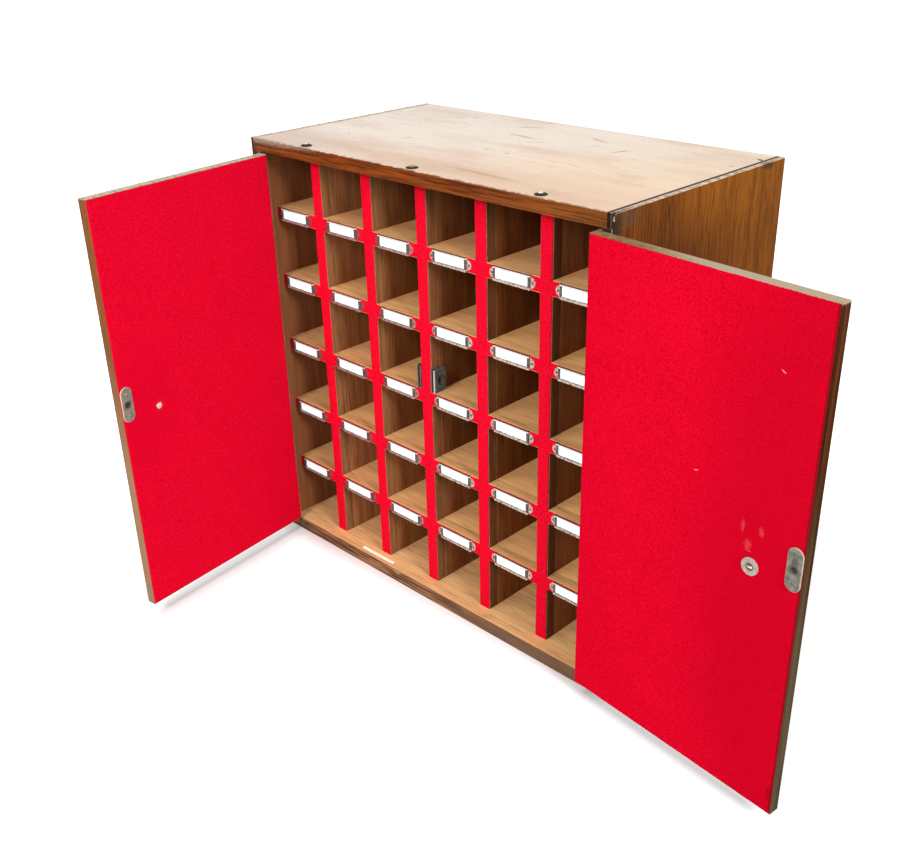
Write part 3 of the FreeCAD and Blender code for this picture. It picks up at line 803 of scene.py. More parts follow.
# ---------------------------------------------------------------- surfaces
@dataclass
class Surface:
    """Points and faces of a closed surface, with an optional flat map of its points."""

    points: Array
    faces: list[list[int]]
    flat: Optional[Array] = None

    def facing_out(self) -> "Surface":
        """The surface with outward faces: its signed volume, the sum of a . (b x c) / 6 over
        its triangles, is made positive."""
        total = 0.0
        for count in (3, 4):
            ring = np.array([face for face in self.faces if len(face) == count])
            for last in range(2, count if ring.size else 0):
                a, b, c = (self.points[ring[:, i]] for i in (0, last - 1, last))
                total += np.einsum("ij,ij->", a, np.cross(b, c))
        if total < 0:
            self.faces = [face[::-1] for face in self.faces]
        return self

    def mapped(self) -> "Surface":
        """The surface with its x and z as its flat map."""
        self.flat = self.points[:, [0, 2]].copy()
        return self

    def moved(self, points: Array) -> "Surface":
        """The surface with its points moved."""
        return Surface(points, self.faces, self.flat).facing_out()


def joined(surfaces: Sequence[Surface]) -> Surface:
    """Several surfaces as one."""
    faces: list[list[int]] = []
    start = 0
    for surface in surfaces:
        faces += [[index + start for index in face] for face in surface.faces]
        start += len(surface.points)
    flats = [surface.flat for surface in surfaces]
    flat = None if any(one is None for one in flats) else np.concatenate(flats)
    return Surface(np.concatenate([surface.points for surface in surfaces]), faces, flat)


def slab(front: Array, back: Array, kept: Optional[Array] = None) -> Surface:
    """Closed slab between two grids of points of the same shape.

    Cells of the front and back grids are faces, and a wall joins the two along every cell
    side that only one kept cell has, so a hole in the grid gets its wall too.

    Args:
        front: Grid of points, rows by columns by 3.
        back: Grid behind it.
        kept: Which cells are there, rows - 1 by columns - 1.

    Returns:
        The slab.
    """
    rows, columns = front.shape[:2]
    index = np.arange(rows * columns).reshape(rows, columns)
    cells = np.stack([index[:-1, :-1], index[:-1, 1:], index[1:, 1:], index[1:, :-1]], -1)
    quads = cells.reshape(-1, 4) if kept is None else cells[kept]
    sides = np.concatenate([quads[:, [i, (i + 1) % 4]] for i in range(4)])
    keys = np.sort(sides, 1) @ np.array([rows * columns, 1])
    _, where, counts = np.unique(keys, return_index=True, return_counts=True)
    rim = sides[where[counts == 1]]
    shift = rows * columns
    walls = np.stack([rim[:, 1], rim[:, 0], rim[:, 0] + shift, rim[:, 1] + shift], -1)
    faces = np.concatenate([quads, quads[:, ::-1] + shift, walls])
    points = np.concatenate([front.reshape(-1, 3), back.reshape(-1, 3)])
    used, renamed = np.unique(faces, return_inverse=True)
    return Surface(points[used], renamed.reshape(faces.shape).tolist()).facing_out()


def unit(vectors: Array) -> Array:
    """Vectors, a row each, at length 1."""
    return vectors / np.linalg.norm(vectors, axis=-1, keepdims=True)


def frame_of(direction: Array) -> Array:
    """Three unit vectors as columns, the last along the direction."""
    axis = unit(direction)
    side = unit(np.cross((0.0, 0.0, 1.0) if abs(axis[2]) < 0.9 else (1.0, 0.0, 0.0), axis))
    return np.stack([side, np.cross(axis, side), axis], 1)


@dataclass(frozen=True)
class Head:
    """Head of a screw or pin, with or without a cross slot, in millimetres.

    Height over (x, y) is side + rise * (1 - (x^2 + y^2) / radius^2), less the slot's depth
    where |x| is under half the slot. Columns of x stand double at the slot's two sides, so its
    walls are upright, and each column spans the chord of the circle.

    Attributes:
        radius: Radius of the head.
        side: Straight height at its rim.
        rise: Height of its dome above that.
        slot: Width of the slot.
        depth: Depth of the slot below the crown.
        shank: Length below its seat that the closed underside reaches.
    """

    radius: float
    side: float
    rise: float
    slot: float
    depth: float
    shank: float

    def at(self, seat: Sequence[float], direction: Sequence[float], turn: float = 0.0) -> Surface:
        """The head in place.

        Args:
            seat: Middle of the plane that it stands on, in metres.
            direction: Where its crown points.
            turn: Turn of the slot about the screw, in radians.

        Returns:
            The head.
        """
        half = self.slot / 2
        outer = np.sin(np.linspace(-1.0, 0.0, 8) * math.pi / 2) * self.radius * 0.992
        outer = outer[outer < -half - self.radius * 0.03]
        x = np.concatenate([outer, [-half, -half, half, half], -outer[::-1]])
        cut = np.zeros(len(x), bool)
        cut[len(outer) + 1:len(outer) + 3] = True
        chord = np.sqrt(np.maximum(self.radius ** 2 - x ** 2, 0))
        y = chord[:, None] * np.sin(np.linspace(-1, 1, 11) * math.pi / 2)[None]
        wide = np.broadcast_to(x[:, None], y.shape)
        height = self.side + self.rise * (1 - (wide ** 2 + y ** 2) / self.radius ** 2)
        floor = np.minimum(self.side + self.rise - self.depth, height)
        height = np.where(cut[:, None], floor, height)
        c, s = math.cos(turn), math.sin(turn)
        front = np.stack([wide * c - y * s, wide * s + y * c, height], -1)
        back = front.copy()
        back[..., 2] = -self.shank
        made = slab(front * MM, back * MM)
        return made.moved(made.points @ frame_of(np.array(direction, float)).T + np.array(seat, float))


def ripple(a: Array, b: Array, wavelength: float, seed: int) -> Array:
    """Gentle unevenness between about -1 and 1: the mean of seven sine waves in different
    directions, with wavelengths near the given one."""
    dice = np.random.default_rng(seed)
    total = np.zeros(np.broadcast(a, b).shape)
    for turn, phase, scale in dice.uniform((0, 0, 0.6), (math.tau, math.tau, 1.7), (7, 3)):
        step = math.tau / (wavelength * scale)
        total += np.sin((a * math.cos(turn) + b * math.sin(turn)) * step + phase)
    return total / 3.2


def needles(roots: Array, outward: Array, length: float, width: float, seed: int) -> Surface:
    """Short bent fibres: each is a three-sided spike, from a triangle at its root, through a
    smaller one half way that leans aside, to a point that leans further.

    Args:
        roots: Where the fibres leave the surface, a row each. They start a little inside it.
        outward: Direction away from the surface at each root.
        length: Usual length.
        width: Width at the root.
        seed: Seed of their differences.

    Returns:
        All the fibres.
    """
    outward = unit(outward)
    roots = roots - outward * 0.2 * MM
    dice = np.random.default_rng(seed)
    count = len(roots)
    lean = dice.normal(size=(count, 3))
    lean = unit(lean - outward * np.einsum("ij,ij->i", lean, outward)[:, None])
    cross = np.cross(outward, lean)
    size = length * dice.uniform(0.45, 1.25, (count, 1))
    slope = dice.uniform(0.5, 1.5, (count, 1))
    middle = roots + outward * size * 0.42 + lean * size * slope * 0.3
    tip = roots + outward * size * 0.62 + lean * size * slope
    angles = np.arange(3) * math.tau / 3
    ring = np.cos(angles)[None, :, None] * lean[:, None] + np.sin(angles)[None, :, None] * cross[:, None]
    low = roots[:, None] + ring * width / 2
    mid = middle[:, None] + ring * width / 3
    points = np.concatenate([low, mid, tip[:, None]], 1).reshape(-1, 3)
    spike = [[2, 1, 0], [3, 4, 6], [4, 5, 6], [5, 3, 6], [0, 1, 4, 3], [1, 2, 5, 4], [2, 0, 3, 5]]
    faces = [[i * 7 + k for k in face] for i in range(count) for face in spike]
    return Surface(points, faces).facing_out()


def add_piece(
    name: str, surface: Surface, finish: Finish, body: str,
    replaces: Sequence[str] = (), sharp: float = 35.0,
) -> bpy.types.Object:
    """Makes a surface a piece of the object.

    Args:
        name: Name of the piece.
        surface: Its surface, already in place.
        finish: Its finish.
        body: Body that it moves with.
        replaces: Frame nodes that it stands for.
        sharp: Angle in degrees above which an edge stays sharp.

    Returns:
        The piece.
    """
    mesh = bpy.data.meshes.new(name)
    mesh.from_pydata(surface.points.tolist(), [], surface.faces)
    mesh.update()
    if surface.flat is not None:
        corners = np.zeros(len(mesh.loops), np.int32)
        mesh.loops.foreach_get("vertex_index", corners)
        layer = mesh.uv_layers.new(name="flat")
        layer.data.foreach_set("uv", surface.flat[corners].astype(np.float32).ravel())
    mesh.polygons.foreach_set("use_smooth", np.ones(len(mesh.polygons), bool))
    mesh.set_sharp_from_angle(angle=math.radians(sharp))
    mesh.materials.append(finish.material())
    piece = add_object(name, mesh)
    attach(piece, body)
    if replaces:
        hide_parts(*replaces)
    log.info("piece %s: %d points on %s", name, len(surface.points), body)
    return piece


def add_object(name: str, data: bpy.types.ID) -> bpy.types.Object:
    """Puts a mesh, lamp or camera in the scene."""
    made = bpy.data.objects.new(name, data)
    bpy.context.scene.collection.objects.link(made)
    return made


def dress(finish: Finish, *nodes: str) -> None:
    """Gives frame nodes a finish."""
    for node in nodes:
        mesh = frame["nodes"][node].data
        mesh.materials.clear()
        mesh.materials.append(finish.material())
        log.info("node %s: %s", node, finish.name)


def node_points(node: str) -> Array:
    """A frame node's points at rest."""
    mesh = frame["nodes"][node].data
    flat = np.zeros(len(mesh.vertices) * 3, np.float32)
    mesh.vertices.foreach_get("co", flat)
    return flat.reshape(-1, 3).astype(float)


def middle_of(box: Box) -> Array:
    """Middle of a box, from its lowest and its highest corner."""
    return (np.array(box[0]) + np.array(box[1])) / 2


def solids_of(node: str) -> list[Box]:
    """Lowest and highest corner of each separate solid of a node, by shared points."""
    points = node_points(node)
    mesh = frame["nodes"][node].data
    _, same = np.unique(np.round(points, 6), axis=0, return_inverse=True)
    ends = np.zeros(len(mesh.edges) * 2, np.int32)
    mesh.edges.foreach_get("vertices", ends)
    pairs = same.ravel()[ends.reshape(-1, 2)]
    label = np.arange(same.max() + 1)
    while True:
        low = np.minimum(label[pairs[:, 0]], label[pairs[:, 1]])
        new = label.copy()
        np.minimum.at(new, pairs[:, 0], low)
        np.minimum.at(new, pairs[:, 1], low)
        new = new[new]
        if (new == label).all():
            break
        label = new
    group = label[same.ravel()]
    return [(points[group == one].min(0), points[group == one].max(0)) for one in np.unique(group)]


def lines_between(low: float, high: float, step: float, fine: float) -> Array:
    """Grid lines from low to high about a step apart, with extra lines close to both ends."""
    edge = np.array([0.0, 0.12, 0.3, 0.55, 1.0]) * fine
    inner = np.linspace(low + fine, high - fine, max(2, int((high - low) / step)))
    return np.unique(np.concatenate([low + edge, inner, high - edge]))


# ---------------------------------------------------------------- sub-assemblies
@dataclass
class FeltSheet:
    """Felt glued to a flat face: rounded edges, a slightly uneven nap and a frayed outline.

    Attributes:
        step: Distance between grid lines.
        roll: How far in from an edge the felt rounds over.
        fray: How far the outline wanders.
        uneven: Height of its unevenness.
        power: Power of the curve of its rounded edge.
    """

    step: float = 4 * MM
    roll: float = 0.9 * MM
    fray: float = 0.28 * MM
    uneven: float = 0.10 * MM
    power: float = 2.4

    def surface(
        self, low: Array, high: Array, seed: int, level_ends: bool = True,
        hole: Optional[tuple[float, float, float]] = None, outward: float = -1.0,
    ) -> Surface:
        """Felt filling a box that is thin in Y.

        The front stands off the back by t * (1 - (1 - d / roll)^power)^(1 / power), where d is
        the distance from the nearest free edge and t the thickness.

        Args:
            low: Lowest corner of the box.
            high: Highest corner.
            seed: Seed of its unevenness.
            level_ends: Whether its ends in X are free edges too.
            hole: Centre x, centre z and radius of a torn hole.
            outward: Sense of Y that the nap faces.

        Returns:
            The felt, with x and z as its flat map.
        """
        xs, zs = (lines_between(low[axis], high[axis], self.step, self.roll) for axis in (0, 2))
        if hole:
            near = np.linspace(-1.6, 1.6, 19) * hole[2]
            xs, zs = (
                np.unique(np.round(np.concatenate([lines, centre + near]), 6))
                for lines, centre in ((xs, hole[0]), (zs, hole[1]))
            )
        x, z = np.meshgrid(xs, zs, indexing="ij")
        away = np.minimum(z - low[2], high[2] - z)
        if level_ends:
            away = np.minimum(away, np.minimum(x - low[0], high[0] - x))
        kept = None
        if hole:
            kept, x, z, inside = self._torn(x, z, hole)
            away = np.minimum(away, inside)
        share = np.clip(away / self.roll, 0, 1)
        rise = (1 - (1 - share) ** self.power) ** (1 / self.power)
        back_y = high[1] if outward < 0 else low[1]
        rise = (high[1] - low[1]) * np.maximum(rise, 0.08)
        rise = rise + self.uneven * share * (ripple(x, z, 0.03, seed) - 1.0) * 0.5
        edge = np.clip(1 - away / (2 * self.roll), 0, 1) * self.fray
        x = x + edge * ripple(z, x, 0.006, seed + 1) * level_ends
        z = z + edge * ripple(x, z, 0.006, seed + 2)
        front = np.stack([x, back_y + outward * rise, z], -1)
        back = np.stack([x, np.full_like(x, back_y), z], -1)
        return slab(front, back, kept).mapped()

    def _torn(self, x: Array, z: Array, hole: tuple[float, float, float]) -> tuple[Array, ...]:
        """Opens a hole in a grid: cells inside it go, and points near its rim move onto it."""
        dx, dz = x - hole[0], z - hole[1]
        angle = np.arctan2(dz, dx)
        rim = hole[2] * (1 + 0.07 * np.sin(3 * angle + 0.4) + 0.05 * np.sin(7 * angle))
        far = np.hypot(dx, dz)
        middle = (far[:-1, :-1] + far[1:, 1:] + far[1:, :-1] + far[:-1, 1:]) / 4
        gone = middle < (rim[:-1, :-1] + rim[1:, 1:]) / 2
        corner = np.zeros(x.shape, bool)
        solid = np.zeros(x.shape, bool)
        for a in (slice(None, -1), slice(1, None)):
            for b in (slice(None, -1), slice(1, None)):
                corner[a, b] |= gone
                solid[a, b] |= ~gone
        scale = np.where(corner & solid, rim / np.maximum(far, 1e-9), 1.0)
        return ~gone, hole[0] + dx * scale, hole[1] + dz * scale, np.maximum(far * scale - rim, 0)


@dataclass
class Case:
    """Outer boards of the cabinet and its back panel.

    Attributes:
        screw: One of the back panel's screws.
        screws_each_way: Number of them along one edge.
        rim_inset: How far they stand in from that edge.
        side_inset: How far the first and last of a level row stand in from the sides.
        end_inset: How far the first and last of an upright row stand in from the ends.
        seat_depth: How deep their heads sit in the panel.
    """

    screw: Head = Head(radius=2.6, side=0.1, rise=0.9, slot=0.7, depth=0.6, shank=0.6)
    screws_each_way: int = 4
    rim_inset: float = 3.5 * MM
    side_inset: float = 12 * MM
    end_inset: float = 90 * MM
    seat_depth: float = 1.0 * MM

    def build(self) -> None:
        """Dresses the boards and adds the back panel's screws."""
        dress(self.top_finish(), "top_board")
        dress(self.side_finish(), "side_left", "side_right")
        dress(self.floor_finish(), "bottom_board")
        dress(Timber("back_ply", light=(0.44, 0.27, 0.13), dark=(0.33, 0.19, 0.085), ring_width=0.03,
                     warp=0.11, wear=0.2, roughness=0.6), "back_panel")
        self.back_screws()

    def top_finish(self) -> Timber:
        """Top board, with the dents and stains of its face."""
        dent = (0.10, 0.05, 0.03)
        rows = (
            (0.1605, 0.081, (0.019, 0.0021, 0.004), dent, 0.85, -1.15, 0.45),
            (-0.256, -0.079, (0.0045, 0.002, 0.004), dent, 0.7, 0.3),
            (-0.003, -0.028, (0.0065, 0.0016, 0.004), dent, 0.7, 0.2, 0.8),
            (0.041, -0.0315, (0.005, 0.002, 0.004), dent, 0.65, -0.2, 0.8),
            (0.3435, 0.157, (0.011, 0.004, 0.004), dent, 0.9, 0.6, 0.7),
            (0.332, 0.099, (0.004, 0.0024, 0.004), (0.28, 0.14, 0.08), 0.7),
            (-0.023, 0.076, (0.036, 0.006, 0.004), (0.44, 0.28, 0.18), 0.5, 0.1, 0.9),
            (0.098, -0.147, (0.085, 0.007, 0.004), (0.40, 0.22, 0.13), 0.55, 0.05, 0.9),
            (-0.33, -0.165, (0.17, 0.09, 0.01), (0.60, 0.44, 0.33), 0.4, 0.0, 0.5),
            (0.02, -0.150, (0.20, 0.030, 0.01), (0.62, 0.40, 0.24), 0.45, 0.03, 1.0),
            (-0.31, -0.192, (0.045, 0.004, 0.012), (0.12, 0.055, 0.030), 0.35, 0.0, 0.9),
        )
        return TopTimber(
            "oak_top", light=(0.250, 0.062, 0.0095), dark=(0.072, 0.0135, 0.0025), worn=(0.38, 0.21, 0.11),
            grain=Grain.ACROSS, ring_width=0.016, warp=0.09, wear=0.6, wear_width=0.0014, roughness=0.45,
            gloss=0.06, streaks=1.3, pore_size=420.0, pore_strength=0.8, contrast=1.3,
            marks=tuple(Mark((x, y, 0.71), *rest) for x, y, *rest in rows),
        )

    def side_finish(self) -> Timber:
        """Side boards, with the worn upper front corner of the right one."""
        split = (0.035, 0.02, 0.013)
        nick = (0.0014, 0.004, 0.004)
        marks = (
            Mark((0.36, -0.172, 0.700), (0.03, 0.034, 0.016), (0.10, 0.055, 0.032), 0.55, 0.0, 1.1),
            Mark((0.36, -0.190, 0.690), (0.03, 0.011, 0.030), split, 0.75, 0.0, 1.1),
            Mark((0.352, -0.195, 0.694), (0.026, 0.006, 0.040), split, 0.95, 0.0, 0.9),
            Mark((0.3580, -0.195, 0.703), nick, (0.60, 0.55, 0.50), 0.7, 0.0, 0.9),
            Mark((0.3490, -0.195, 0.694), nick, (0.46, 0.40, 0.34), 0.7, 0.0, 0.9),
            Mark((0.3555, -0.195, 0.687), (0.0012, 0.004, 0.004), (0.46, 0.41, 0.36), 0.7, 0.0, 0.9),
            Mark((0.3575, -0.183, 0.7095), (0.0025, 0.014, 0.004), split, 0.7, 0.0, 0.9),
            Mark((0.36, 0.150, 0.706), (0.012, 0.02, 0.006), split, 0.75, 0.0, 0.9),
            Mark((-0.359, -0.194, 0.699), (0.02, 0.006, 0.022), split, 0.75, 0.0, 0.9),
        )
        return SideTimber(
            "oak_side", light=(0.355, 0.115, 0.0120), dark=(0.150, 0.045, 0.0041), pore=(0.028, 0.009, 0.001),
            worn=(0.62, 0.46, 0.32), ring_width=0.017, warp=0.10, wear=0.5, roughness=0.5, gloss=0.02,
            bands=0.08, streaks=1.15, pore_size=520.0, pore_strength=0.9, contrast=1.3, marks=marks,
        )

    def floor_finish(self) -> Timber:
        """Bottom board, with the rubbed patch on its front edge."""
        marks = (
            Mark((-0.063, -0.195, 0.020), (0.010, 0.004, 0.006), (0.44, 0.27, 0.18), 0.8, 0.0, 0.8),
            Mark((0.28, -0.196, 0.011), (0.30, 0.003, 0.08), (0.15, 0.085, 0.05), 0.85, 0.0, 0.2),
        )
        return FloorTimber(
            "oak_floor", light=(0.88, 0.53, 0.24), dark=(0.66, 0.375, 0.16), worn=(0.40, 0.20, 0.12),
            gloss=0.04, grain=Grain.ACROSS, ring_width=0.02, warp=0.1, wear=0.55, streaks=0.65,
            pore_strength=0.4, pore_size=760.0, contrast=0.8, marks=marks,
        )

    def back_screws(self) -> None:
        """Round heads that hold the back panel to the boards round it, evenly along its rim."""
        low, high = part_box("back_panel")
        xs = np.linspace(low[0] + self.side_inset, high[0] - self.side_inset, self.screws_each_way)
        zs = np.linspace(low[2] + self.end_inset, high[2] - self.end_inset, self.screws_each_way)
        places = [(x, z) for x in xs for z in (low[2] + self.rim_inset, high[2] - self.rim_inset)]
        places += [(x, z) for z in zs for x in (low[0] + self.rim_inset, high[0] - self.rim_inset)]
        seat = high[1] - self.seat_depth
        heads = [self.screw.at((x, seat, z), (0, 1, 0), i * 0.9) for i, (x, z) in enumerate(places)]
        add_piece("back_screws", joined(heads), AGED_STEEL, "cabinet")


@dataclass
class PigeonholeGrid:
    """Dividers, shelves, their front strips and the felt on those.

    Attributes:
        fibres: Number of loose felt fibres.
        fibre_length: Usual length of one.
        fibre_lean: How far they lean to the front, against 1 to the side.
        overlap: How far a shelf's felt runs into the uprights' felt.
        divider_tones: Light, dark and pore colours of a divider.
        divider_painted_shades: What those are multiplied by, from left to right: painted light and shade,
            lighter for some boards and darker for others.
        shelf_tones: Light, dark and pore colours of a shelf.
        shelf_painted_shades: What those are multiplied by, from the top down: painted light and shade,
            brighter on the lower shelves.
    """

    fibres: int = 3200
    fibre_length: float = 0.8 * MM
    fibre_lean: float = 0.55
    overlap: float = 0.9 * MM
    divider_tones: tuple[Colour, ...] = ((0.25, 0.098, 0.037), (0.14, 0.050, 0.018), (0.04, 0.014, 0.005))
    divider_painted_shades: tuple[Colour, ...] = (
        (1.55, 1.66, 1.66), (1.12, 1.12, 0.98), (0.92, 0.89, 0.75), (0.86, 0.76, 0.53), (1.18, 1.16, 1.06),
    )
    shelf_tones: tuple[Colour, ...] = ((0.88, 0.505, 0.214), (0.66, 0.355, 0.141), (0.24, 0.12, 0.05))
    shelf_painted_shades: tuple[Colour, ...] = (
        (0.99, 0.89, 0.92), (0.99, 0.97, 0.95), (1.02, 0.99, 1.00), (1.08, 1.06, 1.05), (1.10, 1.08, 1.10),
    )

    def build(self) -> None:
        """Dresses the boards and lays the felt."""
        self.boards("divider", DividerTimber, self.divider_tones, self.divider_painted_shades, ring_width=0.02,
                    warp=0.12, wear=0.2, gloss=0.03, streaks=0.7, contrast=1.0)
        self.boards("shelf", Timber, self.shelf_tones, self.shelf_painted_shades, grain=Grain.ACROSS,
                    ring_width=0.016, warp=0.13, wear=0.25, gloss=0.05, pore_strength=0.35,
                    pore_size=760.0, streaks=0.6, bands=0.12, contrast=0.7)
        dress(StripTimber("oak_lipping_upright", light=(0.31, 0.138, 0.056), dark=(0.185, 0.076, 0.029),
                          worn=(0.72, 0.50, 0.30), ring_width=0.008, wear=0.85, wear_width=0.0012,
                          gloss=0.04), "divider_lippings")
        dress(Timber("oak_lipping_level", light=(0.76, 0.43, 0.18), dark=(0.54, 0.29, 0.11),
                     worn=(0.80, 0.56, 0.34), grain=Grain.ACROSS, ring_width=0.009, wear=0.7,
                     wear_width=0.0010, gloss=0.05), "shelf_lippings")
        self.felt()

    @staticmethod
    def boards(
        kind: str, wood: type[Timber], tones: Sequence[Colour], painted_shades: Sequence[Colour], **look: Any
    ) -> None:
        """Dresses a row of boards.

        Args:
            kind: What their nodes' names start with.
            wood: Kind of timber.
            tones: Light, dark and pore colours.
            painted_shades: What those are multiplied by, a shade of painted light for each board.
            look: The timber's other values.
        """
        for number, shade in enumerate(painted_shades, 1):
            # Each board's colours are multiplied by its shade of painted light.
            light, dark, pore = (tuple(part * s for part, s in zip(tone, shade)) for tone in tones)
            board = wood("oak_%s_%d" % (kind, number), light=light, dark=dark, pore=pore, **look)
            dress(board, "%s_%d" % (kind, number))

    def felt(self) -> None:
        """Felt on the front edges: upright strips, and shelf strips that run into them."""
        sheet = FeltSheet(step=6 * MM, roll=0.8 * MM, fray=0.22 * MM, uneven=0.08 * MM)
        uprights, levels = solids_of("divider_felts"), solids_of("shelf_felts")
        pieces = [sheet.surface(low, high, i) for i, (low, high) in enumerate(uprights)]
        reach = np.array([self.overlap, 0, 0])
        for i, (low, high) in enumerate(levels):
            pieces.append(sheet.surface(low - reach, high + reach, 40 + i, level_ends=False))
        finish = StripFelt("felt_grid", colour=(0.86, 0.007, 0.031), deep=(0.53, 0.0006, 0.012))
        add_piece("grid_felt", joined(pieces), finish, "cabinet",
                  ("divider_felts", "shelf_felts"), 60)
        self.fuzz(uprights + levels, finish)

    def fuzz(self, strips: list[Box], finish: Finish) -> None:
        """Loose fibres along the strips' edges, shared out evenly among them."""
        dice = np.random.default_rng(7)
        chosen = dice.integers(0, len(strips), self.fibres)
        low, high = (np.array([strip[end] for strip in strips])[chosen] for end in (0, 1))
        roots = dice.uniform(low, high)
        upright = (high - low)[:, 2] > (high - low)[:, 0]
        side = dice.choice((-1.0, 1.0), self.fibres)
        outward = np.zeros_like(roots)
        outward[:, 1] = -self.fibre_lean
        for here, axis in ((upright, 0), (~upright, 2)):
            outward[here, axis] = side[here]
            roots[here, axis] = np.where(side > 0, high[:, axis], low[:, axis])[here]
        made = needles(roots, outward, self.fibre_length, FIBRE_WIDTH, 8)
        add_piece("grid_fibres", made, finish, "cabinet")


@dataclass
class CardHolders:
    """Card holders on the shelf edges, their pins and blank cards.

    Attributes:
        rows: Number of rows of holders.
        lift: How far a holder's middle is above its ears' middle.
        ear_length: Length of an ear.
        ear_thickness: Thickness of its metal.
        pin: One of the pins in the ears.
    """

    rows: int = 5
    lift: float = 0.5 * MM
    ear_length: float = 8 * MM
    ear_thickness: float = 0.8 * MM
    pin: Head = Head(radius=1.9, side=0.05, rise=0.75, slot=0.2, depth=0.0, shank=0.2)

    def build(self) -> None:
        """Dresses holders and cards and adds two pins to each holder."""
        holder = HolderMetal("holder_metal", colour=(0.16, 0.105, 0.092), aged=(0.06, 0.034, 0.029),
                             bright=(0.55, 0.44, 0.39), pit=(0.035, 0.02, 0.017), metallic=0.2,
                             roughness=0.46, scale=260, pitting=0.6, edge=0.45, gloss=0.3)
        pin = Metal("pin_steel", colour=(0.17, 0.13, 0.11), aged=(0.06, 0.045, 0.038),
                    bright=(0.55, 0.50, 0.45), metallic=0.2, roughness=0.35, gloss=0.2)
        # The cards glow with painted light.
        card = CardPaper("card", colour=(0.92, 0.96, 0.96), specks=0.45, glow=0.22)
        heads = []
        for row in range(1, self.rows + 1):
            dress(holder, "label_holders_row_%d" % row)
            dress(card, "label_cards_row_%d" % row)
            heads += self.pins("label_holders_row_%d" % row)
        add_piece("holder_pins", joined(heads), pin, "cabinet")

    def pins(self, node: str) -> list[Surface]:
        """Domed pin heads on the ears of one row of holders."""
        heads = []
        for low, high in solids_of(node):
            z = (low[2] + high[2]) / 2 - self.lift
            for x in (low[0] + self.ear_length / 2, high[0] - self.ear_length / 2):
                heads.append(self.pin.at((x, high[1] - self.ear_thickness, z), (0, -1, 0), x * 40))
        return heads


@dataclass
class TopScrews:
    """Raised slotted screws in dished cups along the front of the top."""

    screw: Head = Head(radius=5.5, side=0.0, rise=1.2, slot=1.3, depth=1.3, shank=1.2)

    def build(self) -> None:
        """Dresses the cups and makes slotted heads for the screws, each with a painted glint of its own."""
        dress(Metal("cup_nickel", colour=(0.040, 0.030, 0.017), aged=(0.018, 0.013, 0.008),
                    bright=(0.16, 0.13, 0.08), metallic=0.0, roughness=0.4, scale=300,
                    edge_width=0.0004, edge=0.3, gloss=0.06), "top_cup_washers")
        # Painted glints: small white highlights on the outer heads, a broad olive one over the whole middle
        # head.
        painted_glints = ((0.0034, (0.95, 0.94, 0.90)), (0.0085, (0.30, 0.26, 0.15)), (0.0048, (0.92, 0.90, 0.84)))
        marks, heads = [], []
        for i, ((low, high), (size, colour)) in enumerate(zip(solids_of("top_screws"), painted_glints)):
            x, y, _ = (low + high) / 2
            marks.append(Mark((x, y - 0.0008, high[2]), (size, size, 0.02), colour, 0.95, 0.0, 0.15))
            heads.append(self.screw.at((x, y, high[2] - self.screw.rise * MM), (0, 0, 1), 0.5 + i * 1.1))
        bright = Metal("screw_painted_glint", colour=(0.06, 0.048, 0.030), aged=(0.03, 0.024, 0.015),
                       bright=(0.12, 0.10, 0.07), metallic=0.0, roughness=0.3, scale=260, pitting=0.3,
                       gloss=0.1, marks=tuple(marks))
        add_piece("top_screw_heads", joined(heads), bright, "cabinet", ("top_screws",))


@dataclass
class Catches:
    """Magnetic catches either side of the middle divider."""

    outer_face: float = 18.8 * MM

    def build(self) -> None:
        """Dresses plates, magnets and screws, with painted shade round the screws and a painted glint on the
        plates' front corner.
        """
        _, across, up = middle_of(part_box("catch_screws"))
        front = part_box("catch_pole_plates")[0][1]
        # Painted shade: near-black ovals round the screws, where they sit deep in the plates.
        marks = [
            Mark((side, across, up), (0.020, 0.0038, 0.0095), (0.006, 0.005, 0.004), 0.97, 0.0, 0.08)
            for side in (-self.outer_face, self.outer_face)
        ]
        # Painted glint: a pale line down the plates' outer front corner.
        corner = (self.outer_face, front, up)
        marks.append(Mark(corner, (0.0024, 0.0024, 0.045), (0.66, 0.65, 0.61), 0.9, 0.0, 0.25))
        dress(Metal("catch_steel", colour=(0.085, 0.085, 0.068), aged=(0.040, 0.038, 0.030),
                    bright=(0.55, 0.54, 0.50), metallic=0.15, roughness=0.45, scale=240, edge_width=0.0008,
                    edge=0.9, gloss=0.3, marks=tuple(marks)), "catch_pole_plates")
        dress(Metal("catch_magnet", colour=(0.045, 0.032, 0.032), aged=(0.028, 0.02, 0.02),
                    bright=(0.10, 0.08, 0.08), metallic=0.0, roughness=0.7, scale=500, pitting=0.6,
                    gloss=0.1), "catch_magnets")
        dress(Metal("catch_screw_black", colour=(0.012, 0.010, 0.009), aged=(0.006, 0.005, 0.004),
                    metallic=0.0, edge=0.0, gloss=0.02), "catch_screws")


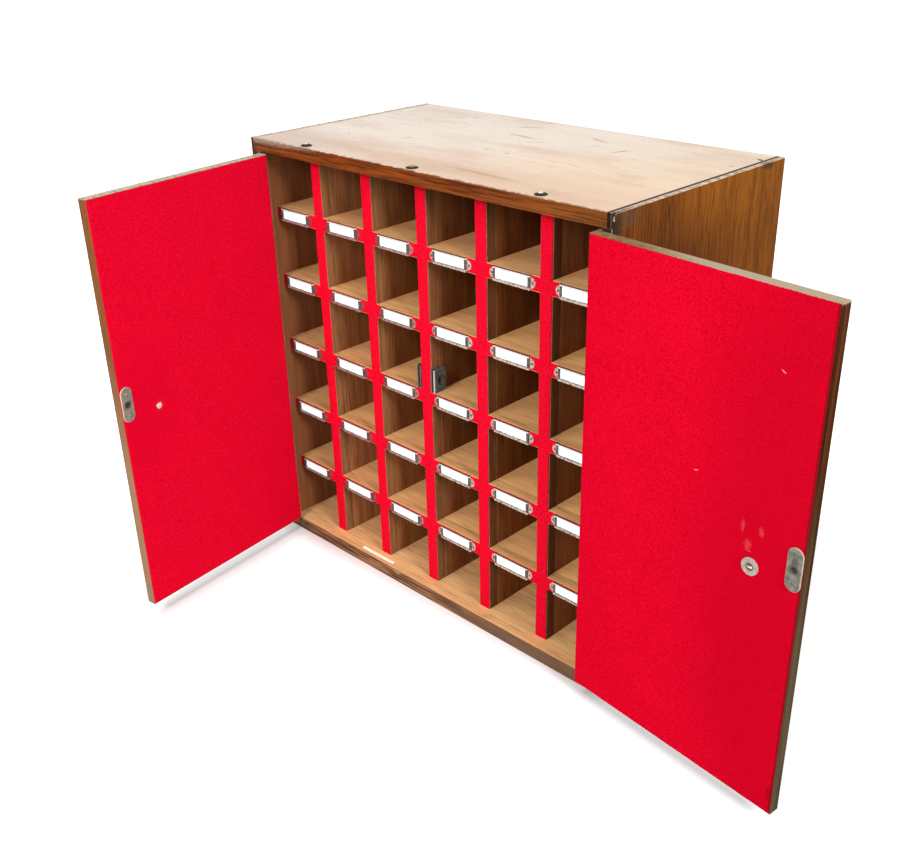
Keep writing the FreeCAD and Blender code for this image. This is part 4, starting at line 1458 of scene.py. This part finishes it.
@dataclass
class PaperStrip:
    """Cream strip stuck along the front of the bottom board, a little lifted at its ends.

    Attributes:
        lift: How far its ends are lifted.
        thickness: Its thickness.
        glue: Height of its underside above the board.
        uneven: How far its rear edge strays.
        steps: Points along it and across it.
    """

    lift: float = 0.225 * MM
    thickness: float = 0.3 * MM
    glue: float = 0.02 * MM
    uneven: float = 0.25 * MM
    steps: tuple[int, int] = (60, 8)

    def build(self) -> None:
        """Makes the strip: height above the board is lift * |t|^3 along its length t, -1 to 1."""
        low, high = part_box("paper_strip")
        xs, ys = (np.linspace(low[axis], high[axis], self.steps[axis]) for axis in (0, 1))
        x, y = np.meshgrid(xs, ys, indexing="ij")
        along = (x - xs.mean()) / (high[0] - low[0]) * 2
        y = y + self.uneven * ripple(x, x * 0, 0.012, 3) * (y > ys.mean())
        under = low[2] + self.glue + self.lift * np.abs(along) ** 3
        strip = slab(np.stack([x, y, under + self.thickness], -1), np.stack([x, y, under], -1))
        # The strip glows faintly with painted light.
        finish = Paper("strip_paper", colour=(0.98, 0.96, 0.78), fox=(0.45, 0.32, 0.16), specks=0.5,
                       glow=0.07)
        add_piece("paper_strip_piece", strip, finish, "cabinet", ("paper_strip",))


@dataclass
class Door:
    """One felt-lined door, its hinge and its fittings.

    Points are worked out on the left-hand door as it hangs shut, then placed: mirrored for the
    right-hand door, and turned about the hinge pin to where the door rests.

    Attributes:
        hand: Which door it is.
        fibres: Number of loose felt fibres.
        fibre_length: Usual length of one.
        fibre_lean: How far they lean off the felt, against 1 to its edge.
        hinge_screws: Number of screws in a hinge leaf.
        hinge_screw: One of them.
        leaf_width: Width of a hinge leaf.
        knuckles: Width of the leaf's front that its knuckles take up.
        screw_row: How far behind the leaf's front its screws stand.
        strike_seat: How deep the strike plate's screw sits.
        dimple: Floor of one of the strike plate's dimples.
        dimple_offset: How far a dimple is from the plate's middle.
        dimple_seat: How deep its floor sits.
        split_inset: How far the splits of the top edge stand off the line of the hinge.
    """

    hand: Hand
    fibres: int = 2600
    fibre_length: float = 0.9 * MM
    fibre_lean: float = 0.6
    hinge_screws: int = 7
    hinge_screw: Head = Head(radius=1.5, side=0.0, rise=0.03, slot=0.5, depth=0.3, shank=0.7)
    leaf_width: float = 13.5 * MM
    knuckles: float = 2 * MM
    screw_row: float = 8.1 * MM
    strike_seat: float = 0.35 * MM
    dimple: Head = Head(radius=1.28, side=0.0, rise=0.3, slot=0.2, depth=0.0, shank=0.3)
    dimple_offset: float = 17.5 * MM
    dimple_seat: float = 0.9 * MM
    split_inset: float = 3.5 * MM

    def __post_init__(self) -> None:
        """Reads the hinge from the frame."""
        self.side = self.hand.value
        self.body = "door_" + self.side
        joint = next(j for j in frame["record"]["behaviour"]["joints"] if j["child"] == self.body)
        self.pivot = np.array(joint["pos_m"], float)
        self.turn = -math.radians(joint["range_deg"][0]) * joint["axis"][2]
        self.is_left = self.hand is Hand.LEFT
        self.mirror = np.array([1.0 if self.is_left else -1.0, 1.0, 1.0])

    def swung(self, points: Array, angle: float) -> Array:
        """Points turned about the hinge pin."""
        c, s = math.cos(angle), math.sin(angle)
        return (points - self.pivot) @ np.array([[c, s, 0.0], [-s, c, 0.0], [0.0, 0.0, 1.0]]) + self.pivot

    def place(self, *point: float) -> tuple[float, ...]:
        """A point of the shut left-hand door, where this door's is at rest."""
        return tuple(self.swung(np.array(point) * self.mirror, self.turn))

    def shut(self, node: str) -> Array:
        """A node's resting points, on the shut left-hand door."""
        return self.swung(node_points(node), -self.turn) * self.mirror

    def shut_box(self, node: str) -> Box:
        """Lowest and highest corner of a node on the shut left-hand door."""
        points = self.shut(node)
        return points.min(0), points.max(0)

    def hung(self, surface: Surface) -> Surface:
        """A surface of the shut left-hand door, placed on this one."""
        return surface.moved(self.swung(surface.points * self.mirror, self.turn))

    def build(self) -> None:
        """Dresses and builds the whole door."""
        dress(Timber("oak_door", light=(0.30, 0.115, 0.028), dark=(0.15, 0.052, 0.012), ring_width=0.02,
                     warp=0.12, wear=0.4, gloss=0.06), "door_%s_panel" % self.side)
        dress(self.edge_finish(), "door_%s_lippings" % self.side)
        dress(HINGE_BRASS, *("hinge_%s_%s" % (self.side, part) for part in ("case_leaf", "door_leaf", "pin")))
        dress(KNOB_OAK, "knob_%s" % self.side)
        self.lining()
        self.strike()
        self.knob_fixing()
        self.leaf_screws("case", "cabinet")
        self.leaf_screws("door", self.body)

    def edge_finish(self) -> Timber:
        """Edge strips: brown above and tan below on the left, grey-brown on the right."""
        if self.is_left:
            return FadedTimber("oak_edge_left", light=(0.246, 0.090, 0.027), dark=(0.148, 0.049, 0.0135),
                               foot_light=(0.35, 0.20, 0.11), foot_dark=(0.256, 0.135, 0.070),
                               crest=(0.54, 0.465, 0.34), ring_width=0.006, wear=0.4, gloss=0.04)
        return FadedTimber("oak_edge_right", light=(0.110, 0.034, 0.0115), dark=(0.022, 0.006, 0.002),
                           foot_light=(0.105, 0.074, 0.040), foot_dark=(0.046, 0.031, 0.016),
                           worn=(0.16, 0.11, 0.07), crest=(0.27, 0.17, 0.075), ring_width=0.006, streaks=1.5,
                           wear=0.3, gloss=0.0, marks=self.crest_marks())

    def crest_marks(self) -> tuple[Mark, ...]:
        """Bleached length of the right-hand door's top edge, and the splits along its felt side."""
        lean = self.turn - math.pi
        along = np.array([math.cos(lean), math.sin(lean), 0.0])
        start = np.array([self.pivot[0], self.pivot[1], 0.6885])
        bleached = tuple(start + along * 0.25)
        marks = [Mark(bleached, (0.20, 0.05, 0.004), (0.46, 0.375, 0.27), 0.85, -lean, 0.35)]
        for reach, length in ((0.118, 0.016), (0.160, 0.022), (0.205, 0.014), (0.262, 0.006), (0.300, 0.010)):
            split = tuple(start + along * reach + (0.0, self.split_inset, 0.0))
            marks.append(Mark(split, (length, 0.0016, 0.003), (0.05, 0.035, 0.025), 0.85, -lean, 0.5))
        return tuple(marks)

    def felt_marks(self, edge: float) -> tuple[Mark, ...]:
        """Rubs, lint, stains, broad darker patches and painted shade of the lining.

        Args:
            edge: Where the felt ends at the door's free edge.

        Returns:
            The marks. Each row gives its middle across from the case's middle, its height, half
            its width and height, its colour and strength, and its turn and raggedness.
        """
        pale = (0.90, 0.20, 0.19)
        rows = (
            (-0.069, 0.356, 0.0125, 0.0125, (0.84, 0.030, 0.05), 0.3, 0.0, 0.45),
            # Painted shade, low on the hinge side.
            (-0.30, 0.12, 0.05, 0.16, (0.62, 0.001, 0.016), 0.3, 0.0, 0.2),
            (-0.035, 0.36, 0.09, 0.14, (0.62, 0.001, 0.020), 0.40, 0.0, 0.2),
        ) if self.is_left else (
            (0.03, 0.35, 0.24, 0.65, (0.42, 0.001, 0.010), 0.6, 0.0, 0.15),
            (-0.05, 0.33, 0.13, 0.16, (0.50, 0.001, 0.014), 0.25, 0.0, 0.2),
            (-0.0755, 0.381, 0.0055, 0.009, pale, 0.15, 0.0, 1.0),
            (-0.0840, 0.402, 0.003, 0.009, pale, 0.15, 0.0, 1.0),
            (-0.0735, 0.374, 0.006, 0.0009, pale, 0.25, 0.1, 0.6),
            (-0.0590, 0.404, 0.004, 0.007, pale, 0.16, 0.0, 1.0),
            (-0.0550, 0.600, 0.0045, 0.0009, (0.95, 0.42, 0.36), 0.6, 0.5, 0.3),
            (-0.1550, 0.445, 0.004, 0.0009, (0.95, 0.40, 0.34), 0.6, -0.3, 0.3),
            (-0.0050, 0.056, 0.006, 0.013, (0.28, 0.002, 0.006), 0.7, 0.0, 0.8),
            # Painted shade along the free edge, where the felt meets the edge strip.
            (edge, 0.35, 0.0030, 1.5, (0.15, 0.004, 0.006), 0.8, 0.0, 0.25),
        )
        return tuple(Mark((x, z, 0), (wide, high, 1), *rest) for x, z, wide, high, *rest in rows)

    def lining(self) -> None:
        """Felt over the inner face, with a torn hole at the knob's fixing, and its loose fibres."""
        low, high = self.shut_box("door_%s_felt" % self.side)
        x, _, z = middle_of(self.shut_box("knob_screw_" + self.side))
        radius, seed = (5.0 * MM, 11) if self.is_left else (2.7 * MM, 23)
        sheet = FeltSheet().surface(low, high, seed, hole=(x, z, radius), outward=1.0)
        tones = ((0.775, 0.0036, 0.029), (0.525, 0.0006, 0.013))
        # The right door's felt is darker than the left's: painted shade on the same felt.
        if not self.is_left:
            tones = ((0.690, 0.0025, 0.0235), (0.470, 0.0003, 0.009))
        finish = Felt("felt_door_" + self.side, *tones, marks=self.felt_marks(float(high[0])), mapped=True)
        piece = add_piece("felt_lining_" + self.side, self.hung(sheet), finish, self.body,
                          ("door_%s_felt" % self.side,), 60)
        self.fuzz(low, high, finish)
        if self.is_left:
            self.bare_patch(x, low[1], z, radius)

    def fuzz(self, low: Array, high: Array, finish: Finish) -> None:
        """Loose fibres along the four edges of the lining."""
        dice = np.random.default_rng(31)
        roots = dice.uniform(low, high, (self.fibres, 3))
        edge = dice.integers(0, 4, self.fibres)
        outward = np.zeros_like(roots)
        outward[:, 1] = self.fibre_lean
        for number in range(4):
            axis, here = number // 2 * 2, edge == number
            roots[here, axis] = (low, high)[number % 2][axis]
            outward[here, axis] = number % 2 * 2 - 1
        made = needles(roots, outward, self.fibre_length, FIBRE_WIDTH, 33).mapped()
        add_piece("felt_fibres_" + self.side, self.hung(made), finish, self.body)

    def bare_patch(self, x: float, face: float, z: float, radius: float) -> None:
        """Cream raw wood that shows in the torn hole, round the knob's screw tip: a low ring whose
        height falls away from the screw.

        Args:
            x: Middle of the hole across the door.
            face: Face of the door's board.
            z: Middle of the hole in height.
            radius: Radius of the hole.
        """
        out = np.linspace(2.65 * MM, radius * 1.12, 5)
        angle, reach = np.meshgrid(np.linspace(0, math.tau, 41), out, indexing="ij")
        rise = 0.35 * MM * (1 - (reach - out[0]) / (out[-1] - out[0])) + 0.05 * MM
        x, z = x + reach * np.cos(angle), z + reach * np.sin(angle)
        front = np.stack([x, face + rise, z], -1)
        back = np.stack([x, np.full_like(x, face + 0.01 * MM), z], -1)
        raw = Timber("raw_wood", light=(0.86, 0.74, 0.50), dark=(0.72, 0.58, 0.36), pore_strength=0.2,
                     wear=0.0, roughness=0.8, ring_width=0.004)
        add_piece("bare_patch", self.hung(slab(front, back)), raw, self.body)

    def strike(self) -> None:
        """Dresses the strike plate and makes its slotted, darkened screw."""
        low, high = self.shut_box("strike_screw_" + self.side)
        x, _, z = (low + high) / 2
        face = high[1]
        middle = self.place(x, face, z)
        along = tuple(np.array(self.place(x + 1.0, face, z)) - middle)
        marks = [Mark(middle, (0.0082, 0.0082, 0.0082), (0.035, 0.030, 0.022), 0.95, 0.0, 0.15)]
        tones = ((0.27, 0.265, 0.215), (0.165, 0.158, 0.122), (0.66, 0.53, 0.45))
        # The left plate's dimples are pale steel: painted glints.
        floor = GLINT_STEEL
        if not self.is_left:
            over = self.place(x, face, z + 0.0105)
            marks.append(Mark(over, (0.0066, 0.01, 0.0066), (0.06, 0.052, 0.040), 0.85, 0.0, 0.5))
            tones = ((0.185, 0.182, 0.142), (0.095, 0.091, 0.068), (0.42, 0.37, 0.30))
            floor = AGED_STEEL
        dress(PlateMetal("strike_steel_" + self.side, *tones, metallic=0.3, roughness=0.42, scale=150,
                         edge_width=0.0009, edge=0.4, marks=tuple(marks), middle=middle, along=along),
              "strike_plate_" + self.side)
        screw = Head((high[0] - low[0]) / 2 / MM, side=0.0, rise=0.05, slot=0.8, depth=0.6, shank=1.0)
        made = screw.at((x, face - self.strike_seat, z), (0, 1, 0), 0.7)
        add_piece("strike_screw_head_" + self.side, self.hung(made), DARK_STEEL, self.body,
                  ("strike_screw_" + self.side,))
        dimples = joined([
            self.dimple.at((x, face - self.dimple_seat, z + offset), (0, 1, 0))
            for offset in (-self.dimple_offset, self.dimple_offset)
        ])
        add_piece("strike_dimples_" + self.side, self.hung(dimples), floor, self.body)

    def knob_fixing(self) -> None:
        """Dresses the knob's screw, and the washer that only the right-hand door has."""
        if self.is_left:
            x, y, z = middle_of(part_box("knob_screw_left"))
            nick = Mark((x, y - 0.001, z - 0.0018), (0.01, 0.0016, 0.0030), (0.10, 0.07, 0.05), 0.8, 0.0, 0.4)
            dress(Metal("screw_tip", colour=(0.78, 0.70, 0.52), aged=(0.60, 0.50, 0.34), metallic=0.1,
                        roughness=0.5, marks=(nick,)), "knob_screw_left")
            return
        x, y, z = middle_of(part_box("knob_washer_right"))
        # Painted shadow in the washer's dish: dark crescents on the bolt head above and below, and a dark
        # ring round it on the washer.
        dish_shadow = (0.035, 0.012, 0.006)
        crescents = tuple(
            Mark((x, y, z + rise), (0.0056, 0.03, 0.0027), dish_shadow, 0.95, 0.0, 0.15) for rise in (-0.0031, 0.0031)
        )
        dish = Mark((x, y, z), (0.0070, 0.03, 0.0070), dish_shadow, 0.9, 0.0, 0.1)
        dress(Metal("bolt_copper", colour=(0.88, 0.62, 0.48), aged=(0.62, 0.36, 0.24),
                    bright=(0.98, 0.85, 0.76), metallic=0.4, roughness=0.28, scale=420, pitting=0.2,
                    marks=crescents), "knob_screw_right")
        dress(Metal("washer_zinc", colour=(0.43, 0.385, 0.33), aged=(0.27, 0.24, 0.195),
                    bright=(0.60, 0.54, 0.47), metallic=0.15, roughness=0.55, scale=520, pitting=0.75,
                    edge_width=0.0006, marks=(dish,)), "knob_washer_right")

    def leaf_screws(self, leaf: str, body: str) -> None:
        """Flat slotted screws in the holes of one hinge leaf.

        Args:
            leaf: The leaf, case or door.
            body: Body that it moves with.
        """
        node = "hinge_%s_%s_leaf" % (self.side, leaf)
        on_door = leaf == "door"
        points = self.shut(node) if on_door else node_points(node) * self.mirror
        low, high = points.min(0), points.max(0)
        front = high[1] - self.leaf_width
        pitch = (high[2] - low[2]) / self.hinge_screws
        flat = points[points[:, 1] > front + self.knuckles, 0]
        face, sense = (flat.min(), -1) if on_door else (flat.max(), 1)
        heights = (low[2] + (i + 0.5) * pitch for i in range(self.hinge_screws))
        made = joined([
            self.hinge_screw.at((face, front + self.screw_row, z), (sense, 0, 0), i * 1.3)
            for i, z in enumerate(heights)
        ])
        made = self.hung(made) if on_door else made.moved(made.points * self.mirror)
        add_piece("hinge_screws_%s_%s" % (self.side, leaf), made, AGED_BRASS, body)


AGED_STEEL = Metal("aged_steel", colour=(0.42, 0.40, 0.37), aged=(0.24, 0.22, 0.20), roughness=0.45)
# Pale steel for painted glints.
GLINT_STEEL = Metal("glint_steel", colour=(0.85, 0.83, 0.78), aged=(0.50, 0.48, 0.44), metallic=0.3,
                     roughness=0.4)
DARK_STEEL = Metal("dark_steel", colour=(0.035, 0.030, 0.025), aged=(0.018, 0.015, 0.012),
                   bright=(0.16, 0.14, 0.12), metallic=0.1, roughness=0.5, gloss=0.08)
HINGE_BRASS = Metal("hinge_brass", colour=(0.48, 0.36, 0.17), aged=(0.25, 0.18, 0.085),
                    bright=(0.78, 0.64, 0.38), metallic=0.85, roughness=0.36, scale=180)
AGED_BRASS = Metal("aged_brass", colour=(0.55, 0.42, 0.20), aged=(0.30, 0.21, 0.10), metallic=0.85,
                   roughness=0.38)
KNOB_OAK = Timber("knob_oak", light=(0.30, 0.13, 0.05), dark=(0.17, 0.066, 0.024), ring_width=0.006,
                  wear=0.35, roughness=0.34, gloss=0.25, coat=0.12)


# ---------------------------------------------------------------- studio
@dataclass(frozen=True)
class Lamp:
    """Square soft lamp, with its size in metres and its power in watts."""

    name: str
    place: Colour
    power: float
    size: float = 0.9


@dataclass
class Studio:
    """Pale floor, soft lights and the camera.

    Attributes:
        ambient: Level of the light from all round.
        lamps: Lamps to the right of the case, before it and over it.
        aim: Point that every lamp faces.
        floor_half: Half the floor's side.
        floor_centre: Middle of the part of the floor that keeps shadows.
        floor_reach: How far from that middle the floor starts to fade to white, and is white.
        floor_glow: Level of the floor's own light to the camera.
        contact: How far from the sorter that light is dimmed.
        film: Width of the camera's film in millimetres.
        lens: Focal length in film widths.
        camera_place: Where the camera stands.
        camera_right: Direction to the right of its picture.
        camera_up: Direction up its picture.
    """

    ambient: float = 0.33
    lamps: tuple[Lamp, ...] = (
        Lamp("right_lamp", (3.29, -0.98, 1.87), 94.0),
        Lamp("front_lamp", (0.61, -3.20, 2.42), 80.0),
        Lamp("top_lamp", (-0.60, -1.90, 3.50), 26.0),
    )
    aim: Colour = (0.1, -0.3, 0.35)
    floor_half: float = 12.0
    floor_centre: Colour = (0.22, -0.33, 0.0)
    floor_reach: tuple[float, float] = (0.70, 0.95)
    floor_glow: float = 0.50
    contact: float = 0.035
    film: float = 36.0
    lens: float = 1085.39 / 914.0
    camera_place: Colour = (1.10896, -1.21281, 1.04767)
    camera_right: Colour = (0.71340, 0.70044, -0.02099)
    camera_up: Colour = (-0.29581, 0.32817, 0.89711)

    def build(self) -> None:
        """Makes the whole studio."""
        self.world()
        self.floor()
        for lamp in self.lamps:
            self.softbox(lamp)
        self.camera()

    def world(self) -> None:
        """White to the camera, to gloss and through glass, and a plain even light otherwise."""
        world = bpy.data.worlds.new("studio")
        world.use_nodes = True
        bpy.context.scene.world = world
        graph = Graph(world.node_tree)
        strength = graph.swing(graph.seen(), 1.0 - self.ambient, self.ambient)
        graph.fill(world.node_tree.nodes["Background"].inputs, Color=(1.0, 1.0, 1.0), Strength=strength)

    def floor(self) -> None:
        """Pale floor that keeps the shadows near the sorter, with painted contact shadow close to it, and
        fades to white further out.
        """
        half = self.floor_half
        mesh = bpy.data.meshes.new("floor")
        corners = [(-half, -half, 0), (half, -half, 0), (half, half, 0), (-half, half, 0)]
        mesh.from_pydata(corners, [], [(0, 1, 2, 3)])
        material = bpy.data.materials.new("floor")
        material.use_nodes = True
        graph = Graph(material.node_tree)
        graph.place = graph.node("TexCoord").outputs["Object"]
        away = graph.vector("LENGTH", graph.vector("SUBTRACT", graph.place, self.floor_centre))
        # Painted contact shadow: ambient occlusion dims the floor's glow to the camera close to the sorter.
        near = graph.node("AmbientOcclusion", samples=8)
        near.inputs["Distance"].default_value = self.contact
        far = graph.step(away, *self.floor_reach)
        glow = graph.times(graph.swing(far, 1.0 - self.floor_glow, self.floor_glow),
                           graph.math("POWER", near.outputs["AO"], 4.0))
        speck = graph.times(graph.noise(40.0), 0.04)
        graph.shade(Base_Color=graph.blend(speck, (0.80, 0.80, 0.80), (0.72, 0.72, 0.72)), Roughness=1.0,
                    Specular_IOR_Level=0.0, Emission_Color=(1.0, 1.0, 1.0),
                    Emission_Strength=graph.times(graph.seen(), glow))
        mesh.materials.append(material)
        add_object("floor", mesh)

    def softbox(self, lamp: Lamp) -> None:
        """Hangs one lamp, facing the point that all of them face."""
        light = bpy.data.lights.new(lamp.name, "AREA")
        light.size = lamp.size
        light.energy = lamp.power
        made = add_object(lamp.name, light)
        made.location = lamp.place
        made.rotation_euler = (Vector(self.aim) - Vector(lamp.place)).to_track_quat("-Z", "Y").to_euler()

    def camera(self) -> None:
        """Camera at the viewing angle, from its place and its right and up directions."""
        right, up = Vector(self.camera_right), Vector(self.camera_up)
        camera = bpy.data.cameras.new("camera")
        camera.sensor_width = self.film
        camera.lens = self.film * self.lens
        made = add_object("camera", camera)
        turn = Matrix((right, up, right.cross(up))).transposed().to_4x4()
        made.matrix_world = Matrix.Translation(self.camera_place) @ turn
        bpy.context.scene.camera = made


def main() -> None:
    """Builds the sorter and its studio."""
    logging.basicConfig(level=logging.INFO, format="%(message)s")
    bpy.context.scene.view_settings.view_transform = "Standard"
    parts = [
        Case(), PigeonholeGrid(), CardHolders(), TopScrews(), Catches(), PaperStrip(),
        Door(Hand.LEFT), Door(Hand.RIGHT), Studio(),
    ]
    for part in parts:
        part.build()
        log.info("built %s", type(part).__name__)


if __name__ == "__main__":
    main()
